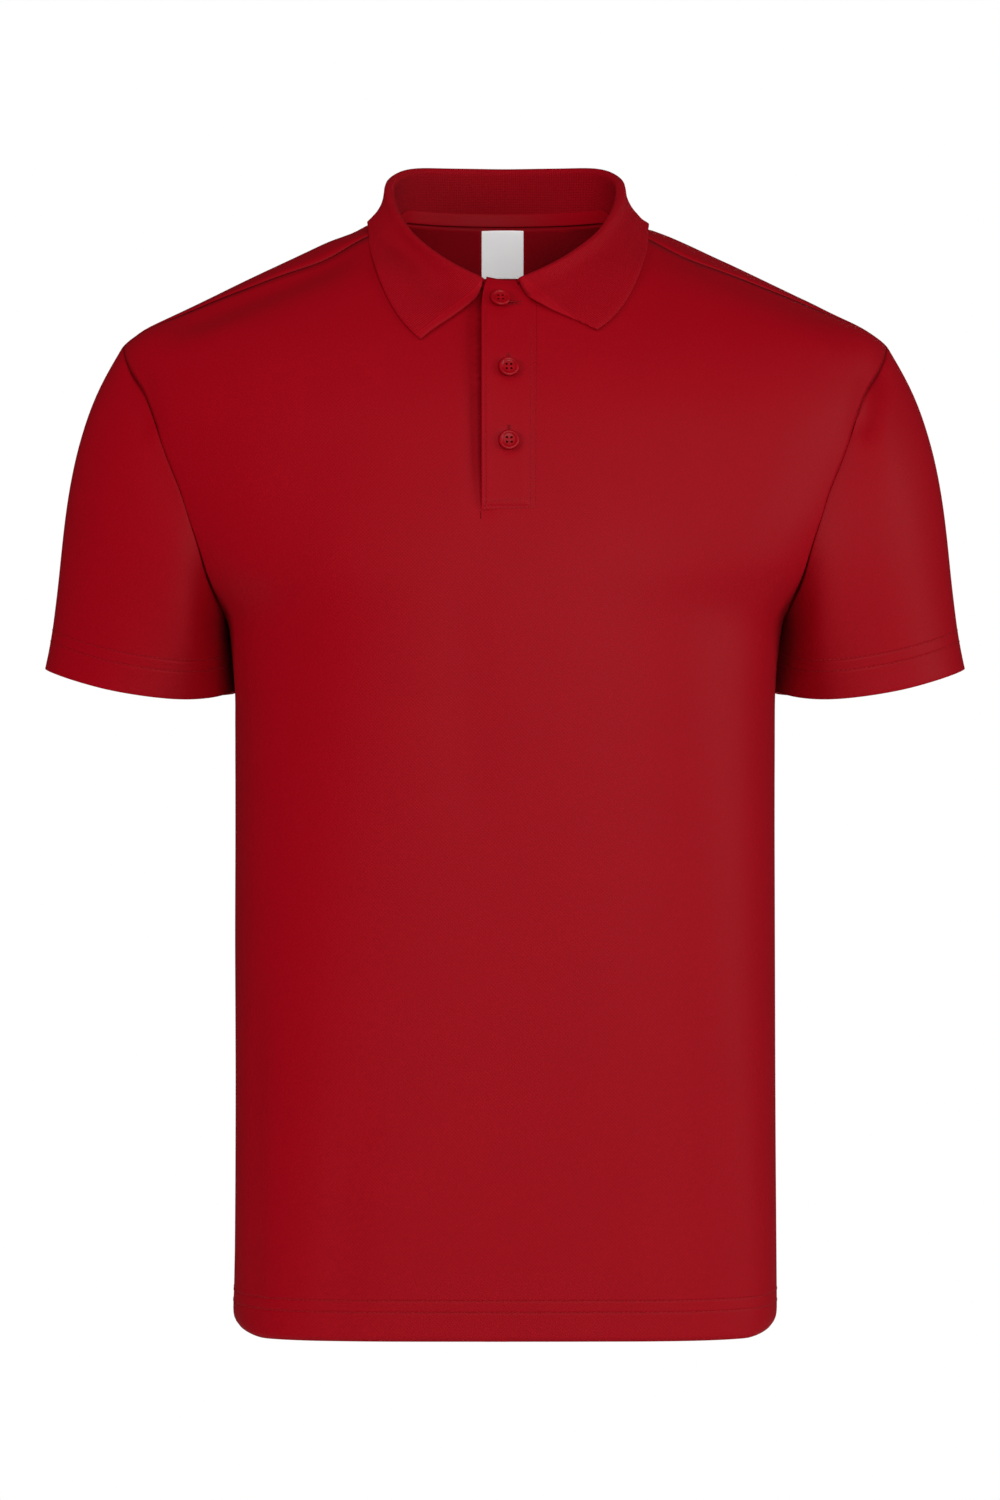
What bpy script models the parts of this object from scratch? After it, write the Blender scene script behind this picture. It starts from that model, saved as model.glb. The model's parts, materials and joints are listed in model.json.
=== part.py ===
"""A short-sleeved polo shirt, filled out as if it were worn, with nobody in it.

Sizes are in millimetres and become metres when a mesh is made. +Z is up, the front faces -Y, and the
wearer's left is +X. The origin lies between the shoulders at the base of the neck.

The body of the shirt is one smooth form, a stack of rounded sections. The front and back panels are
grids of points on that form, bounded by the lines a maker would cut along: neck, shoulder seam,
armhole, side seam and hem. Each sleeve runs from its armhole to its cuff.
"""

import math
from collections import namedtuple

import bmesh
import bpy
import numpy as np
from mathutils import Matrix, Vector

MM = 0.001

# Cloth
CLOTH = 1.5
HEM_CLOTH = 2.4
COLLAR_CLOTH = 1.6
BAND_CLOTH = 1.5
TRIM_CLOTH = 1.0
GAP = 0.3
HEM_DEPTH = 27.0
HEM_STEP = 3.0

# Levels of the body
HEM_Z = -725.0
UNDERARM_Z = -260.0
NECK_TOP_Z = 7.4
NECK_FRONT_Z = -46.0
NECK_HALF_WIDTH = 78.0
NECK_POWER = 1.8
SEAM_START_X = 76.0

# A section of the body: how far it reaches sideways, forwards and backwards at its level, and how
# boxy its front and back are (2 is an ellipse, more is squarer).
Section = namedtuple("Section", "z half_width front back front_power back_power")
BODY = (
    Section(20.0, 50.0, 10.0, 46.0, 2.2, 2.2),
    Section(7.4, 78.0, 22.0, 58.0, 2.2, 2.2),
    Section(1.8, 95.8, 27.5, 62.5, 2.2, 2.2),
    Section(-7.9, 117.2, 37.8, 70.5, 2.2, 2.2),
    Section(-17.7, 137.0, 48.5, 78.0, 2.2, 2.2),
    Section(-36.8, 177.4, 66.8, 90.0, 2.2, 2.2),
    Section(-47.8, 200.4, 74.4, 95.5, 2.2, 2.2),
    Section(-58.8, 223.0, 81.3, 100.0, 2.22, 2.22),
    Section(-68.0, 240.0, 86.6, 103.0, 2.25, 2.25),
    Section(-79.5, 254.0, 92.7, 106.8, 2.3, 2.3),
    Section(-97.0, 257.6, 100.7, 111.2, 2.4, 2.35),
    Section(-120.0, 257.0, 109.0, 115.5, 2.5, 2.4),
    Section(-145.0, 252.0, 115.3, 119.0, 2.55, 2.5),
    Section(-175.0, 240.0, 121.4, 121.2, 2.62, 2.55),
    Section(-205.0, 224.5, 126.0, 121.8, 2.75, 2.6),
    Section(-232.0, 207.5, 128.2, 121.0, 2.8, 2.65),
    Section(-249.0, 192.5, 128.6, 120.2, 2.8, 2.7),
    Section(-260.0, 184.5, 128.8, 119.5, 2.8, 2.7),
    Section(-288.0, 180.3, 129.0, 117.5, 2.95, 2.75),
    Section(-310.0, 178.6, 129.0, 116.0, 3.05, 2.8),
    Section(-420.0, 178.0, 128.0, 111.0, 3.4, 2.85),
    Section(-560.0, 178.0, 126.0, 111.5, 3.9, 2.9),
    Section(-725.0, 178.6, 123.2, 116.0, 4.6, 3.0),
)

# The shoulder seam, a little in front of the shoulder's ridge.
Seam = namedtuple("Seam", "x z")
SHOULDER_SEAM = (
    Seam(96.0, -10.0),
    Seam(120.0, -20.6),
    Seam(142.0, -28.6),
    Seam(167.0, -38.4),
    Seam(200.0, -51.6),
    Seam(240.0, -71.0),
)

# The armhole seen from the side, from the shoulder tip down the front and up the back.
Armhole = namedtuple("Armhole", "y z")
ARMHOLE_FRONT = (
    Armhole(-9.0, -79.8),
    Armhole(-41.0, -100.0),
    Armhole(-59.0, -122.0),
    Armhole(-72.0, -165.0),
    Armhole(-76.0, -199.0),
    Armhole(-70.0, -229.0),
    Armhole(-45.0, -250.5),
)
ARMHOLE_BACK = (
    Armhole(0.0, -260.0),
    Armhole(44.0, -250.5),
    Armhole(67.0, -229.0),
    Armhole(73.0, -199.0),
    Armhole(70.0, -165.0),
    Armhole(57.0, -123.0),
    Armhole(37.0, -99.0),
)

# Soft vertical troughs that the cloth hangs in: their place round the body (degrees from the middle
# of the front, towards the wearer's left), levels, depth and width.
Trough = namedtuple("Trough", "around low high depth width")
TROUGHS = (
    Trough(-76.0, -712.0, -500.0, 2.4, 11.0),
    Trough(-104.0, -700.0, -470.0, 2.0, 13.0),
    Trough(103.0, -705.0, -520.0, 2.2, 12.0),
)

# Sleeve
CUFF_X = 243.6
CUFF_HALF_WIDTH = 62.0
CUFF_FRONT = 53.0
CUFF_BACK = 52.0
CUFF_POWER = 2.15
CUFF_OUTER_Z = -293.0
CUFF_INNER_Z = -308.5
CUFF_FRONT_DIP = 10.0
CUFF_BACK_DIP = 6.0
CUFF_DIP_LEAN = 0.35
FOLD_BACK_BEND = 0.3
SLEEVE_TOP_FLOW = np.array((88.0, 0.0, 0.0))
SLEEVE_FRONT_FLOW = np.array((34.0, -34.0, 0.0))
SLEEVE_BACK_FLOW = np.array((34.0, 40.0, 0.0))
SLEEVE_END_FLOW = np.array((-2.0, 0.0, 0.0))

# Collar: one row for each section across it, from its front end to the middle of the back. `seam` is
# how far round the neck seam the section stands (0 front end, 1 middle of the back); the fold is its
# top edge; the leaf's edge lies on the body, so only its x, z and rough y are needed.
Station = namedtuple("Station", "seam fold_x fold_y fold_z leaf_x leaf_y leaf_z fold_radius")
COLLAR = (
    Station(0.00, 11.0, -73.6, -41.0, 57.0, -92.0, -79.3, 2.0),
    Station(0.07, 22.0, -70.2, -36.0, 66.5, -86.0, -71.0, 2.0),
    Station(0.15, 36.0, -63.8, -28.0, 75.0, -77.0, -60.0, 2.1),
    Station(0.24, 49.0, -53.6, -18.0, 82.5, -65.0, -45.0, 2.2),
    Station(0.33, 60.0, -42.0, -7.2, 88.0, -51.0, -29.5, 2.3),
    Station(0.42, 68.2, -28.5, 5.6, 92.0, -35.0, -15.0, 2.4),
    Station(0.49, 73.0, -14.5, 17.5, 92.0, -17.0, -4.5, 2.6),
    Station(0.56, 74.4, 0.0, 28.5, 91.5, 2.0, 1.0, 2.6),
    Station(0.65, 71.2, 18.0, 37.0, 88.5, 27.0, 2.0, 2.5),
    Station(0.75, 60.5, 36.5, 43.6, 75.0, 48.0, 1.5, 2.5),
    Station(0.87, 36.5, 49.5, 45.4, 45.0, 64.0, 1.0, 2.5),
    Station(1.00, 0.0, 55.5, 45.6, 0.0, 71.0, 1.0, 2.5),
)
COLLAR_SEAM_START_X = 11.0
COLLAR_END_SHIFT = -2.6
LEAF_SHIFT = 2.4
POINT_LIFT = 4.0
LEAF_CLEARANCE = 1.5
COLLAR_LIFT = 0.7
LEAF_OVER_BAND = 3.3

# Placket: the upper band lies on the front panel, the lower band fills the slot cut in it.
PLACKET_X = 2.6
BAND_HALF_WIDTH = 17.8
BAND_BOTTOM_Z = -194.0
BAND_COLUMNS = (-15.2, -9.5, -4.0, 1.7, 7.2, 8.2, 14.3, 20.4)
BAND_RISE = 3.6
BAND_RISE_END_X = 8.0
SLOT_HALF_WIDTH = 12.0
SLOT_BOTTOM_Z = -187.0
Lift = namedtuple("Lift", "z proud trim")
BAND_LIFT = (
    Lift(-44.0, 1.2, 3.2),
    Lift(-50.0, 2.0, 1.4),
    Lift(-62.0, 3.8, 0.0),
    Lift(-85.0, 4.2, 0.0),
    Lift(-120.0, 2.6, 0.0),
    Lift(-160.0, 1.0, 0.0),
    Lift(-185.0, 0.1, 0.0),
    Lift(-194.0, 0.0, 0.0),
)

# Trim
TAPE_BOTTOM_Z = 7.0
TAPE_TOP_Z = 15.6
LABEL_WIDTH = 28.6
LABEL_X = -1.6
LABEL_TOP_Z = 6.2
LABEL_BOTTOM_Z = -24.0

# Buttons
Button = namedtuple("Button", "name x z")
BUTTONS = (
    Button("button_1", -3.3, -57.0),
    Button("button_2", 2.2, -102.5),
    Button("button_3", 2.5, -149.5),
)
BUTTON_RADIUS = 6.6
BUTTON_RIM = 2.6
BUTTON_DISH_RADIUS = 4.4
BUTTON_DISH = 1.9
BUTTON_EDGE = 0.6
HOLE_RADIUS = 0.8
HOLE_SPACING = 3.0

# Grids
NECK_COLUMNS = 5
BACK_NECK_COLUMNS = 7
SHOULDER_COLUMNS = 10
SLOT_COLUMNS = 4
ARMHOLE_ROWS = 14
LOWER_LEVELS = (-698.0, -695.0, -655.0, -610.0, -565.0, -520.0, -475.0, -430.0, -388.0, -348.0, -312.0, -284.0)
BENT_ROWS = 4
SLEEVE_ROWS = 7
SHOULDER_SHARE = 0.42
COLLAR_COLUMNS = 40
STAND_ROWS = 3
FOLD_ROWS = 4
LEAF_ROWS = 6

RED = (0.33, 0.007, 0.014)
FINISHES = {
    "jersey": (RED, 0.75),
    "rib": ((0.29, 0.006, 0.012), 0.8),
    "label": ((0.82, 0.82, 0.82), 0.7),
    "button": ((0.24, 0.005, 0.01), 0.35),
}


# ---------------------------------------------------------------- curves and tables


def unit(vectors):
    return vectors / np.linalg.norm(vectors, axis=-1, keepdims=True)


def read(rows, key, name, at):
    """Column `name` of a table against its column `key`, read at `at` on a smooth curve that never
    overshoots its rows."""
    x = np.array([getattr(row, key) for row in rows], float)
    y = np.array([getattr(row, name) for row in rows], float)
    if x[0] > x[-1]:
        x, y = x[::-1], y[::-1]
    step = np.diff(x)
    slope = np.diff(y) / step
    before, after = slope[:-1], slope[1:]
    turning = before * after <= 0
    weight_before, weight_after = 2 * step[1:] + step[:-1], step[1:] + 2 * step[:-1]
    bottom = weight_before / np.where(turning, 1.0, before) + weight_after / np.where(turning, 1.0, after)
    inner = np.where(turning, 0.0, (weight_before + weight_after) / np.where(turning, 1.0, bottom))
    tangent = np.concatenate([slope[:1], inner, slope[-1:]])
    at = np.clip(at, x[0], x[-1])
    i = np.clip(np.searchsorted(x, at) - 1, 0, len(step) - 1)
    t = (at - x[i]) / step[i]
    return hermite(y[i], tangent[i] * step[i], y[i + 1], tangent[i + 1] * step[i], t)


def hermite(start, leave, end, arrive, t):
    """A cubic from `start` to `end` that leaves and arrives along the two given directions."""
    return (
        (2 * t**3 - 3 * t**2 + 1) * start
        + (t**3 - 2 * t**2 + t) * leave
        + (3 * t**2 - 2 * t**3) * end
        + (t**3 - t**2) * arrive
    )


def flow(points, closed=False, steps=16):
    """A smooth curve through the points, as a fine run of points."""
    points = np.asarray(points, float)
    if closed:
        run = np.concatenate([points[-1:], points, points[:2]])
    else:
        run = np.concatenate([[2 * points[0] - points[1]], points, [2 * points[-1] - points[-2]]])
    t = np.linspace(0, 1, steps, endpoint=False)[:, None]
    arcs = []
    for a, b, c, d in zip(run, run[1:], run[2:], run[3:]):
        ab, bc, cd = (math.sqrt(np.linalg.norm(q - p)) for p, q in ((a, b), (b, c), (c, d)))
        leave = bc * ((b - a) / ab - (c - a) / (ab + bc) + (c - b) / bc)
        arrive = bc * ((c - b) / bc - (d - b) / (bc + cd) + (d - c) / cd)
        arcs.append(hermite(b, leave, c, arrive, t))
    return np.concatenate(arcs + [run[-2:-1]])


def lengths(curve):
    """How far along the curve each of its points is."""
    return np.concatenate([[0.0], np.cumsum(np.linalg.norm(np.diff(curve, axis=0), axis=1))])


def along(curve, distances):
    """Points at the given distances along a curve; a negative distance is on its mirror image."""
    place = lengths(curve)
    found = np.stack([np.interp(np.abs(distances), place, curve[:, k]) for k in range(3)], axis=-1)
    found[:, 0] *= np.where(np.asarray(distances) < 0, -1.0, 1.0)
    return found


def shared_out(curve, count):
    """count + 1 points evenly spaced along the curve."""
    return along(curve, np.linspace(0, lengths(curve)[-1], count + 1))


def mirrored(points):
    return points * np.array((-1.0, 1.0, 1.0))


# ---------------------------------------------------------------- the body's form


def depth_and_power(y, z):
    ahead = y < 0
    depth = np.where(ahead, read(BODY, "z", "front", z), read(BODY, "z", "back", z))
    power = np.where(ahead, read(BODY, "z", "front_power", z), read(BODY, "z", "back_power", z))
    return depth, power


def reach(points):
    """Where points lie in their section of the body: 1 on its face, less inside it."""
    x, y, z = np.abs(points[..., 0]), points[..., 1], points[..., 2]
    depth, power = depth_and_power(y, z)
    width = read(BODY, "z", "half_width", z)
    return ((x / width) ** power + (np.abs(y) / depth) ** power) ** (1 / power)


def slope_of_reach(points):
    nudge = np.eye(3) * 0.2
    return np.stack([(reach(points + n) - reach(points - n)) / 0.4 for n in nudge], axis=-1)


def outward(points):
    """The direction straight out of the body at each point."""
    return unit(slope_of_reach(points))


def standing_off(points):
    """Roughly how far outside the body's face each point lies."""
    return (reach(points) - 1) / np.linalg.norm(slope_of_reach(points), axis=-1)


def settled(points, clearance=0.0, rounds=6):
    """Points moved straight in or out until they lie this far outside the body."""
    for _ in range(rounds):
        move = clearance - standing_off(points)
        points = points + outward(points) * move[..., None]
    return points


def kept_clear(points, clearance, rounds=4):
    """Points moved straight out wherever they lie nearer the body than this."""
    for _ in range(rounds):
        move = np.maximum(0.0, clearance - standing_off(points))
        points = points + outward(points) * move[..., None]
    return points


def on_front(x, z):
    """Points on the front of the body at the given widths and levels."""
    x, z = np.broadcast_arrays(np.asarray(x, float), np.asarray(z, float))
    depth, power = depth_and_power(np.full(x.shape, -1.0), z)
    share = np.clip(np.abs(x) / read(BODY, "z", "half_width", z), 0, 1)
    return np.stack([x, -depth * (1 - share**power) ** (1 / power), z], axis=-1)


def on_side(y, z):
    """Points on the wearer's left side of the body at the given depths and levels."""
    y, z = np.asarray(y, float), np.asarray(z, float)
    depth, power = depth_and_power(y, z)
    share = np.clip(np.abs(y) / depth, 0, 1)
    x = read(BODY, "z", "half_width", z) * (1 - share**power) ** (1 / power)
    return np.stack([x, y, z], axis=-1)


def half_section(z, front, steps=240):
    """The body's section at one level, from the centre line to the wearer's left side."""
    turn = np.linspace(0, math.pi / 2, steps)
    side = -1.0 if front else 1.0
    depth, power = depth_and_power(np.array([side]), np.array([z]))
    width = read(BODY, "z", "half_width", np.array([z]))
    x = width * np.sin(turn) ** (2 / power)
    y = side * depth * np.cos(turn) ** (2 / power)
    return np.stack([x, y, np.full(steps, z)], axis=-1)


# ---------------------------------------------------------------- cutting lines


def armhole_line():
    """The wearer's left armhole, from the shoulder tip down the front, and where it meets the side seam."""
    rows = ARMHOLE_FRONT + ARMHOLE_BACK
    steps = 16
    side_view = flow([(0.0, row.y, row.z) for row in rows], closed=True, steps=steps)
    line = on_side(side_view[:, 1], side_view[:, 2])
    return line, len(ARMHOLE_FRONT) * steps


def armhole_ring():
    """The same armhole as evenly spaced points: the front half from tip to underarm, and the back half."""
    line, underarm = armhole_line()
    front = shared_out(line[: underarm + 1], ARMHOLE_ROWS)
    back = shared_out(line[underarm:][::-1], ARMHOLE_ROWS)
    back[0] = front[0]
    return front, back


def neck_front_level(x):
    share = np.clip(np.abs(x) / NECK_HALF_WIDTH, 0, 1)
    drop = (1 - share**NECK_POWER) ** (1 / NECK_POWER)
    return NECK_TOP_Z + (NECK_FRONT_Z - NECK_TOP_Z) * drop


def neck_front_line(start_x=0.0, end_x=NECK_HALF_WIDTH, steps=80):
    """The neck seam from near the centre front towards the shoulder's ridge."""
    x = start_x + (end_x - start_x) * np.sin(np.linspace(0, math.pi / 2, steps))
    return on_front(x, neck_front_level(x))


def neck_back_line():
    """The neck seam from the centre back to the shoulder's ridge."""
    return half_section(NECK_TOP_Z, front=False)


def shoulder_line():
    """The shoulder seam, from the neck seam to the shoulder tip."""
    start = neck_front_line(end_x=SEAM_START_X)[-1]
    tip = armhole_line()[0][0]
    middle = [on_front(row.x, row.z) for row in SHOULDER_SEAM]
    line = flow([start] + middle + [tip])
    line[1:-1] = settled(line[1:-1])
    return line


def top_line(front):
    """Half of a panel's top edge, from the centre line round the neck and along the shoulder, and its neck part."""
    if front:
        neck = neck_front_line(end_x=SEAM_START_X)
    else:
        past_ridge = neck_front_line(start_x=SEAM_START_X)[::-1]
        neck = np.concatenate([neck_back_line(), past_ridge[1:]])
    shoulder = shoulder_line()
    return np.concatenate([neck, shoulder[1:]]), lengths(neck)[-1]


# ---------------------------------------------------------------- panels


def stations(neck, whole, front):
    """Where a row's columns cross it, as distances from the centre line. `neck` is how far its shoulder
    column lies, and `whole` its full half length."""
    outer = np.linspace(neck, whole, SHOULDER_COLUMNS + 1)[1:]
    if front:
        slot = PLACKET_X + SLOT_HALF_WIDTH * np.linspace(-1, 1, SLOT_COLUMNS + 1)
        left = np.linspace(-neck, slot[0], NECK_COLUMNS + 1)[:-1]
        right = np.linspace(slot[-1], neck, NECK_COLUMNS + 1)[1:]
        middle = np.concatenate([left, slot, right])
    else:
        middle = np.linspace(-neck, neck, 2 * BACK_NECK_COLUMNS + 1)
    return np.concatenate([-outer[::-1], middle, outer])


def level_row(z, front):
    half = half_section(z, front)
    whole = lengths(half)[-1]
    return along(half, stations(SHOULDER_SHARE * whole, whole, front))


def slot_columns():
    first = SHOULDER_COLUMNS + NECK_COLUMNS
    return slice(first, first + SLOT_COLUMNS + 1)


def upper_rows(front):
    """A first guess at the panel above the underarm: its four edges blended over the body's form."""
    bottom = level_row(UNDERARM_Z, front)
    line, neck = top_line(front)
    top = along(line, stations(neck, lengths(line)[-1], front))
    edge = armhole_ring()[0 if front else 1][::-1]
    u = np.linspace(0, 1, len(bottom))[None, :, None]
    v = np.linspace(0, 1, ARMHOLE_ROWS + 1)[:, None, None]
    left, right = mirrored(edge)[:, None], edge[:, None]
    corners = (1 - v) * ((1 - u) * bottom[0] + u * bottom[-1]) + v * ((1 - u) * top[0] + u * top[-1])
    grid = (1 - v) * bottom[None] + v * top[None] + (1 - u) * left + u * right - corners
    grid[1:-1, 1:-1] = settled(grid[1:-1, 1:-1], rounds=12)
    return grid


def straightened_slot(grid, first):
    """From row `first` up, the columns at the placket run straight up, so that its slot has straight sides."""
    columns = slot_columns()
    top, bottom = grid[-1, columns].copy(), grid[first - 1, columns].copy()
    share = np.linspace(0, 1, len(grid) - first + 1)[:, None]
    z = bottom[:, 2] + (top[:, 2] - bottom[:, 2]) * share
    x = bottom[:, 0] + (top[:, 0] - bottom[:, 0]) * np.clip(share * 2, 0, 1)
    grid[first - 1 :, columns] = on_front(x, z)
    grid[-1, columns] = top


def evened_out(grid, free, rounds=500):
    """The grid with its free points spread evenly between their neighbours, still on the body's form."""
    for _ in range(rounds):
        middle = (grid[:-2, 1:-1] + grid[2:, 1:-1] + grid[1:-1, :-2] + grid[1:-1, 2:]) / 4
        inside = free[1:-1, 1:-1]
        moved = grid[1:-1, 1:-1].copy()
        moved[inside] = settled(middle[inside], rounds=1)
        grid[1:-1, 1:-1] = moved
    grid[free] = settled(grid[free])
    return grid


def panel_grid(front):
    """A whole panel's outer face, from the hem to the neck and from the wearer's right to their left."""
    levels = (HEM_Z, HEM_Z + HEM_DEPTH / 2) + LOWER_LEVELS
    lower = np.array([level_row(z, front) for z in levels])
    grid = np.concatenate([lower, upper_rows(front)])
    first = len(levels) - BENT_ROWS
    free = np.zeros(grid.shape[:2], bool)
    free[first:-1, 1:-1] = True
    if front:
        straightened_slot(grid, first)
        free[:, slot_columns()] = False
    return evened_out(grid, free)


def sunk_in_troughs(grid):
    """The face with its soft troughs pressed in."""
    directions = outward(grid)
    around = np.degrees(np.arctan2(grid[..., 0], -grid[..., 1]))
    radius = np.hypot(grid[..., 0], grid[..., 1])
    sink = np.zeros(grid.shape[:2])
    for trough in TROUGHS:
        turned = (around - trough.around + 180) % 360 - 180
        aside = np.radians(turned) * radius / trough.width
        middle, reach_z = (trough.low + trough.high) / 2, (trough.high - trough.low) / 2
        lengthwise = np.clip(1 - ((grid[..., 2] - middle) / reach_z) ** 2, 0, 1)
        sink += trough.depth * np.exp(-(aside**2)) * lengthwise
    return grid - directions * sink[..., None]


def inset_edge(edge, inner_neighbours, gap):
    """An edge's points moved back into their own piece."""
    return edge + unit(inner_neighbours - edge) * gap


def panel_walls(front, armhole_directions):
    """The outer and inner faces of a panel, drawn back from its seams."""
    grid = panel_grid(front)
    directions = outward(grid)
    edge = armhole_directions[0 if front else 1][::-1]
    directions[-len(edge):, -1] = edge
    directions[-len(edge):, 0] = mirrored(edge)
    outer = sunk_in_troughs(grid)
    outer[-1] = inset_edge(outer[-1], outer[-2], GAP / 2)
    outer[:, 0] = inset_edge(outer[:, 0], outer[:, 1], GAP / 2)
    outer[:, -1] = inset_edge(outer[:, -1], outer[:, -2], GAP / 2)
    in_hem = grid[..., 2] < HEM_Z + HEM_DEPTH + HEM_STEP / 2
    thickness = np.where(in_hem, HEM_CLOTH, CLOTH)
    return outer, outer - directions * thickness[..., None]


# ---------------------------------------------------------------- sleeves


def cuff_ring(count):
    """The cuff's edge, from its outermost point round the front."""
    turn = np.linspace(0, 2 * math.pi, count, endpoint=False)
    side, fore = np.cos(turn), np.sin(turn)
    depth = np.where(fore > 0, CUFF_FRONT, CUFF_BACK)
    dip = np.where(fore > 0, CUFF_FRONT_DIP, CUFF_BACK_DIP)
    x = CUFF_X + CUFF_HALF_WIDTH * np.sign(side) * np.abs(side) ** (2 / CUFF_POWER)
    y = -depth * np.sign(fore) * np.abs(fore) ** (2 / CUFF_POWER)
    z = (CUFF_OUTER_Z + CUFF_INNER_Z) / 2 + (CUFF_OUTER_Z - CUFF_INNER_Z) / 2 * side
    z = z - dip * np.abs(fore) ** 1.5 * (1 - CUFF_DIP_LEAN * side)
    return np.stack([x, y, z], axis=-1)


def sleeve_grid():
    """The wearer's left sleeve: rows from the armhole to the cuff, columns round the arm."""
    front, back = armhole_ring()
    start = np.concatenate([front, back[-2:0:-1]])
    count = len(start)
    end = cuff_ring(count)
    turn = np.linspace(0, 2 * math.pi, count, endpoint=False)[:, None]
    upper, ahead, behind = (np.clip(w, 0, 1) for w in (np.cos(turn), np.sin(turn), -np.sin(turn)))
    chord = end - start
    leave = chord + SLEEVE_TOP_FLOW * upper + SLEEVE_FRONT_FLOW * ahead + SLEEVE_BACK_FLOW * behind
    arrive = chord + SLEEVE_END_FLOW * upper
    hem = HEM_DEPTH / np.linalg.norm(chord, axis=1)[:, None]
    step = hem * HEM_STEP / HEM_DEPTH
    shares = [(1 - hem - step) * k / SLEEVE_ROWS for k in range(SLEEVE_ROWS + 1)]
    shares += [1 - hem, 1 - hem / 2, np.ones_like(hem)]
    return np.array([hermite(start, leave, end, arrive, t) for t in shares])


def ring_directions(grid):
    """Straight out of a tube's face, for rows along it and columns round it."""
    round_it = np.roll(grid, -1, axis=1) - np.roll(grid, 1, axis=1)
    down = np.gradient(grid, axis=0)
    return unit(np.cross(round_it, down))


def armhole_directions(grid, directions):
    """Which way the walls go through the cloth at the armhole, for the body's halves and the sleeve.
    Both share the mitre between them, except at the underarm, where the sleeve folds back sharply."""
    ring = grid[0]
    body, sleeve = outward(ring), directions[0]
    bend = (body * sleeve).sum(axis=1, keepdims=True)
    shared = unit(body + sleeve)
    share = np.clip((bend - FOLD_BACK_BEND) / (1 - FOLD_BACK_BEND) * 2, 0, 1)
    body_way = unit(body * (1 - share) + shared * share)
    sleeve_way = unit(sleeve * (1 - share) + shared * share)
    half = ARMHOLE_ROWS + 1
    front = body_way[:half]
    back = np.concatenate([body_way[:1], body_way[: half - 2 : -1]])
    return (front, back), sleeve_way


def sleeve_walls():
    """The outer and inner faces of the wearer's left sleeve, and the directions at its armhole."""
    grid = sleeve_grid()
    directions = ring_directions(grid)
    if ((grid[-1] - grid[-1].mean(axis=0)) * directions[-1]).sum() < 0:
        directions = -directions
    body_ways, sleeve_way = armhole_directions(grid, directions)
    directions[0] = sleeve_way
    outer = grid.copy()
    leaving = unit(grid[1] - grid[0])
    bend = (outward(grid[0]) * directions[0]).sum(axis=1, keepdims=True)
    folded_back = np.clip((FOLD_BACK_BEND - bend) * 2, 0, 1)
    outer[0] = grid[0] + leaving * GAP / 2 - sleeve_way * GAP * folded_back
    thickness = np.full(len(grid), CLOTH)
    thickness[-3:] = HEM_CLOTH
    return outer, outer - directions * thickness[:, None, None], body_ways


# ---------------------------------------------------------------- meshes


def finish(name):
    if name in bpy.data.materials:
        return bpy.data.materials[name]
    colour, roughness = FINISHES[name]
    material = bpy.data.materials.new(name)
    material.use_nodes = True
    shader = material.node_tree.nodes["Principled BSDF"]
    shader.inputs["Base Color"].default_value = (*colour, 1.0)
    shader.inputs["Roughness"].default_value = roughness
    shader.inputs["Metallic"].default_value = 0.0
    return material


def add_object(name, mesh, finish_name, collection):
    mesh.materials.clear()
    mesh.materials.append(finish(finish_name))
    mesh.shade_smooth()
    mesh.set_sharp_from_angle(angle=math.radians(50))
    obj = bpy.data.objects.new(name, mesh)
    collection.objects.link(obj)
    return obj


def wall(name, outer, inner, finish_name, collection, closed=False, left_out=None):
    """A closed wall between two like grids of points. `closed` joins the last column to the first, and
    `left_out` says which cells between the points are cut away."""
    bm = bmesh.new()
    faces_of = []
    for grid in (outer, inner):
        faces_of.append([[bm.verts.new(Vector(point) * MM) for point in row] for row in grid])
    columns = len(outer[0])
    for i in range(len(outer) - 1):
        for j in range(columns if closed else columns - 1):
            if left_out is not None and left_out[i][j]:
                continue
            k = (j + 1) % columns
            for verts, order in zip(faces_of, (1, -1)):
                bm.faces.new((verts[i][j], verts[i][k], verts[i + 1][k], verts[i + 1][j])[::order])
    opposite = {a: b for rows in zip(*faces_of) for a, b in zip(*rows)}
    rims = [edge for edge in bm.edges if edge.is_boundary and edge.verts[0] in opposite]
    for edge in rims:
        a, b = edge.verts
        bm.faces.new((a, b, opposite[b], opposite[a]))
    bmesh.ops.delete(bm, geom=[vert for vert in bm.verts if not vert.link_faces], context="VERTS")
    bmesh.ops.recalc_face_normals(bm, faces=bm.faces)
    if bm.calc_volume(signed=True) < 0:
        bmesh.ops.reverse_faces(bm, faces=bm.faces)
    mesh = bpy.data.meshes.new(name)
    bm.to_mesh(mesh)
    bm.free()
    return add_object(name, mesh, finish_name, collection)


# ---------------------------------------------------------------- pieces


def slot_rows(grid):
    """The first row of the slot: the row of the front panel's grid nearest the slot's lower end."""
    middle = grid[:, SHOULDER_COLUMNS + NECK_COLUMNS, 2]
    return int(np.argmin(np.abs(middle - SLOT_BOTTOM_Z)))


def build_body(collection):
    sleeve_outer, sleeve_inner, ways = sleeve_walls()
    wall("sleeve_left", sleeve_outer, sleeve_inner, "jersey", collection, closed=True)
    wall("sleeve_right", mirrored(sleeve_outer), mirrored(sleeve_inner), "jersey", collection, closed=True)
    back_outer, back_inner = panel_walls(False, ways)
    wall("back", back_outer, back_inner, "jersey", collection)
    front_outer, front_inner = panel_walls(True, ways)
    first = slot_rows(front_outer)
    left_out = np.zeros((len(front_outer) - 1, front_outer.shape[1] - 1), bool)
    columns = slot_columns()
    left_out[first:, columns.start : columns.stop - 1] = True
    wall("front", front_outer, front_inner, "jersey", collection, left_out=left_out)
    build_lower_band(front_outer, front_inner, first, collection)


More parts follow.
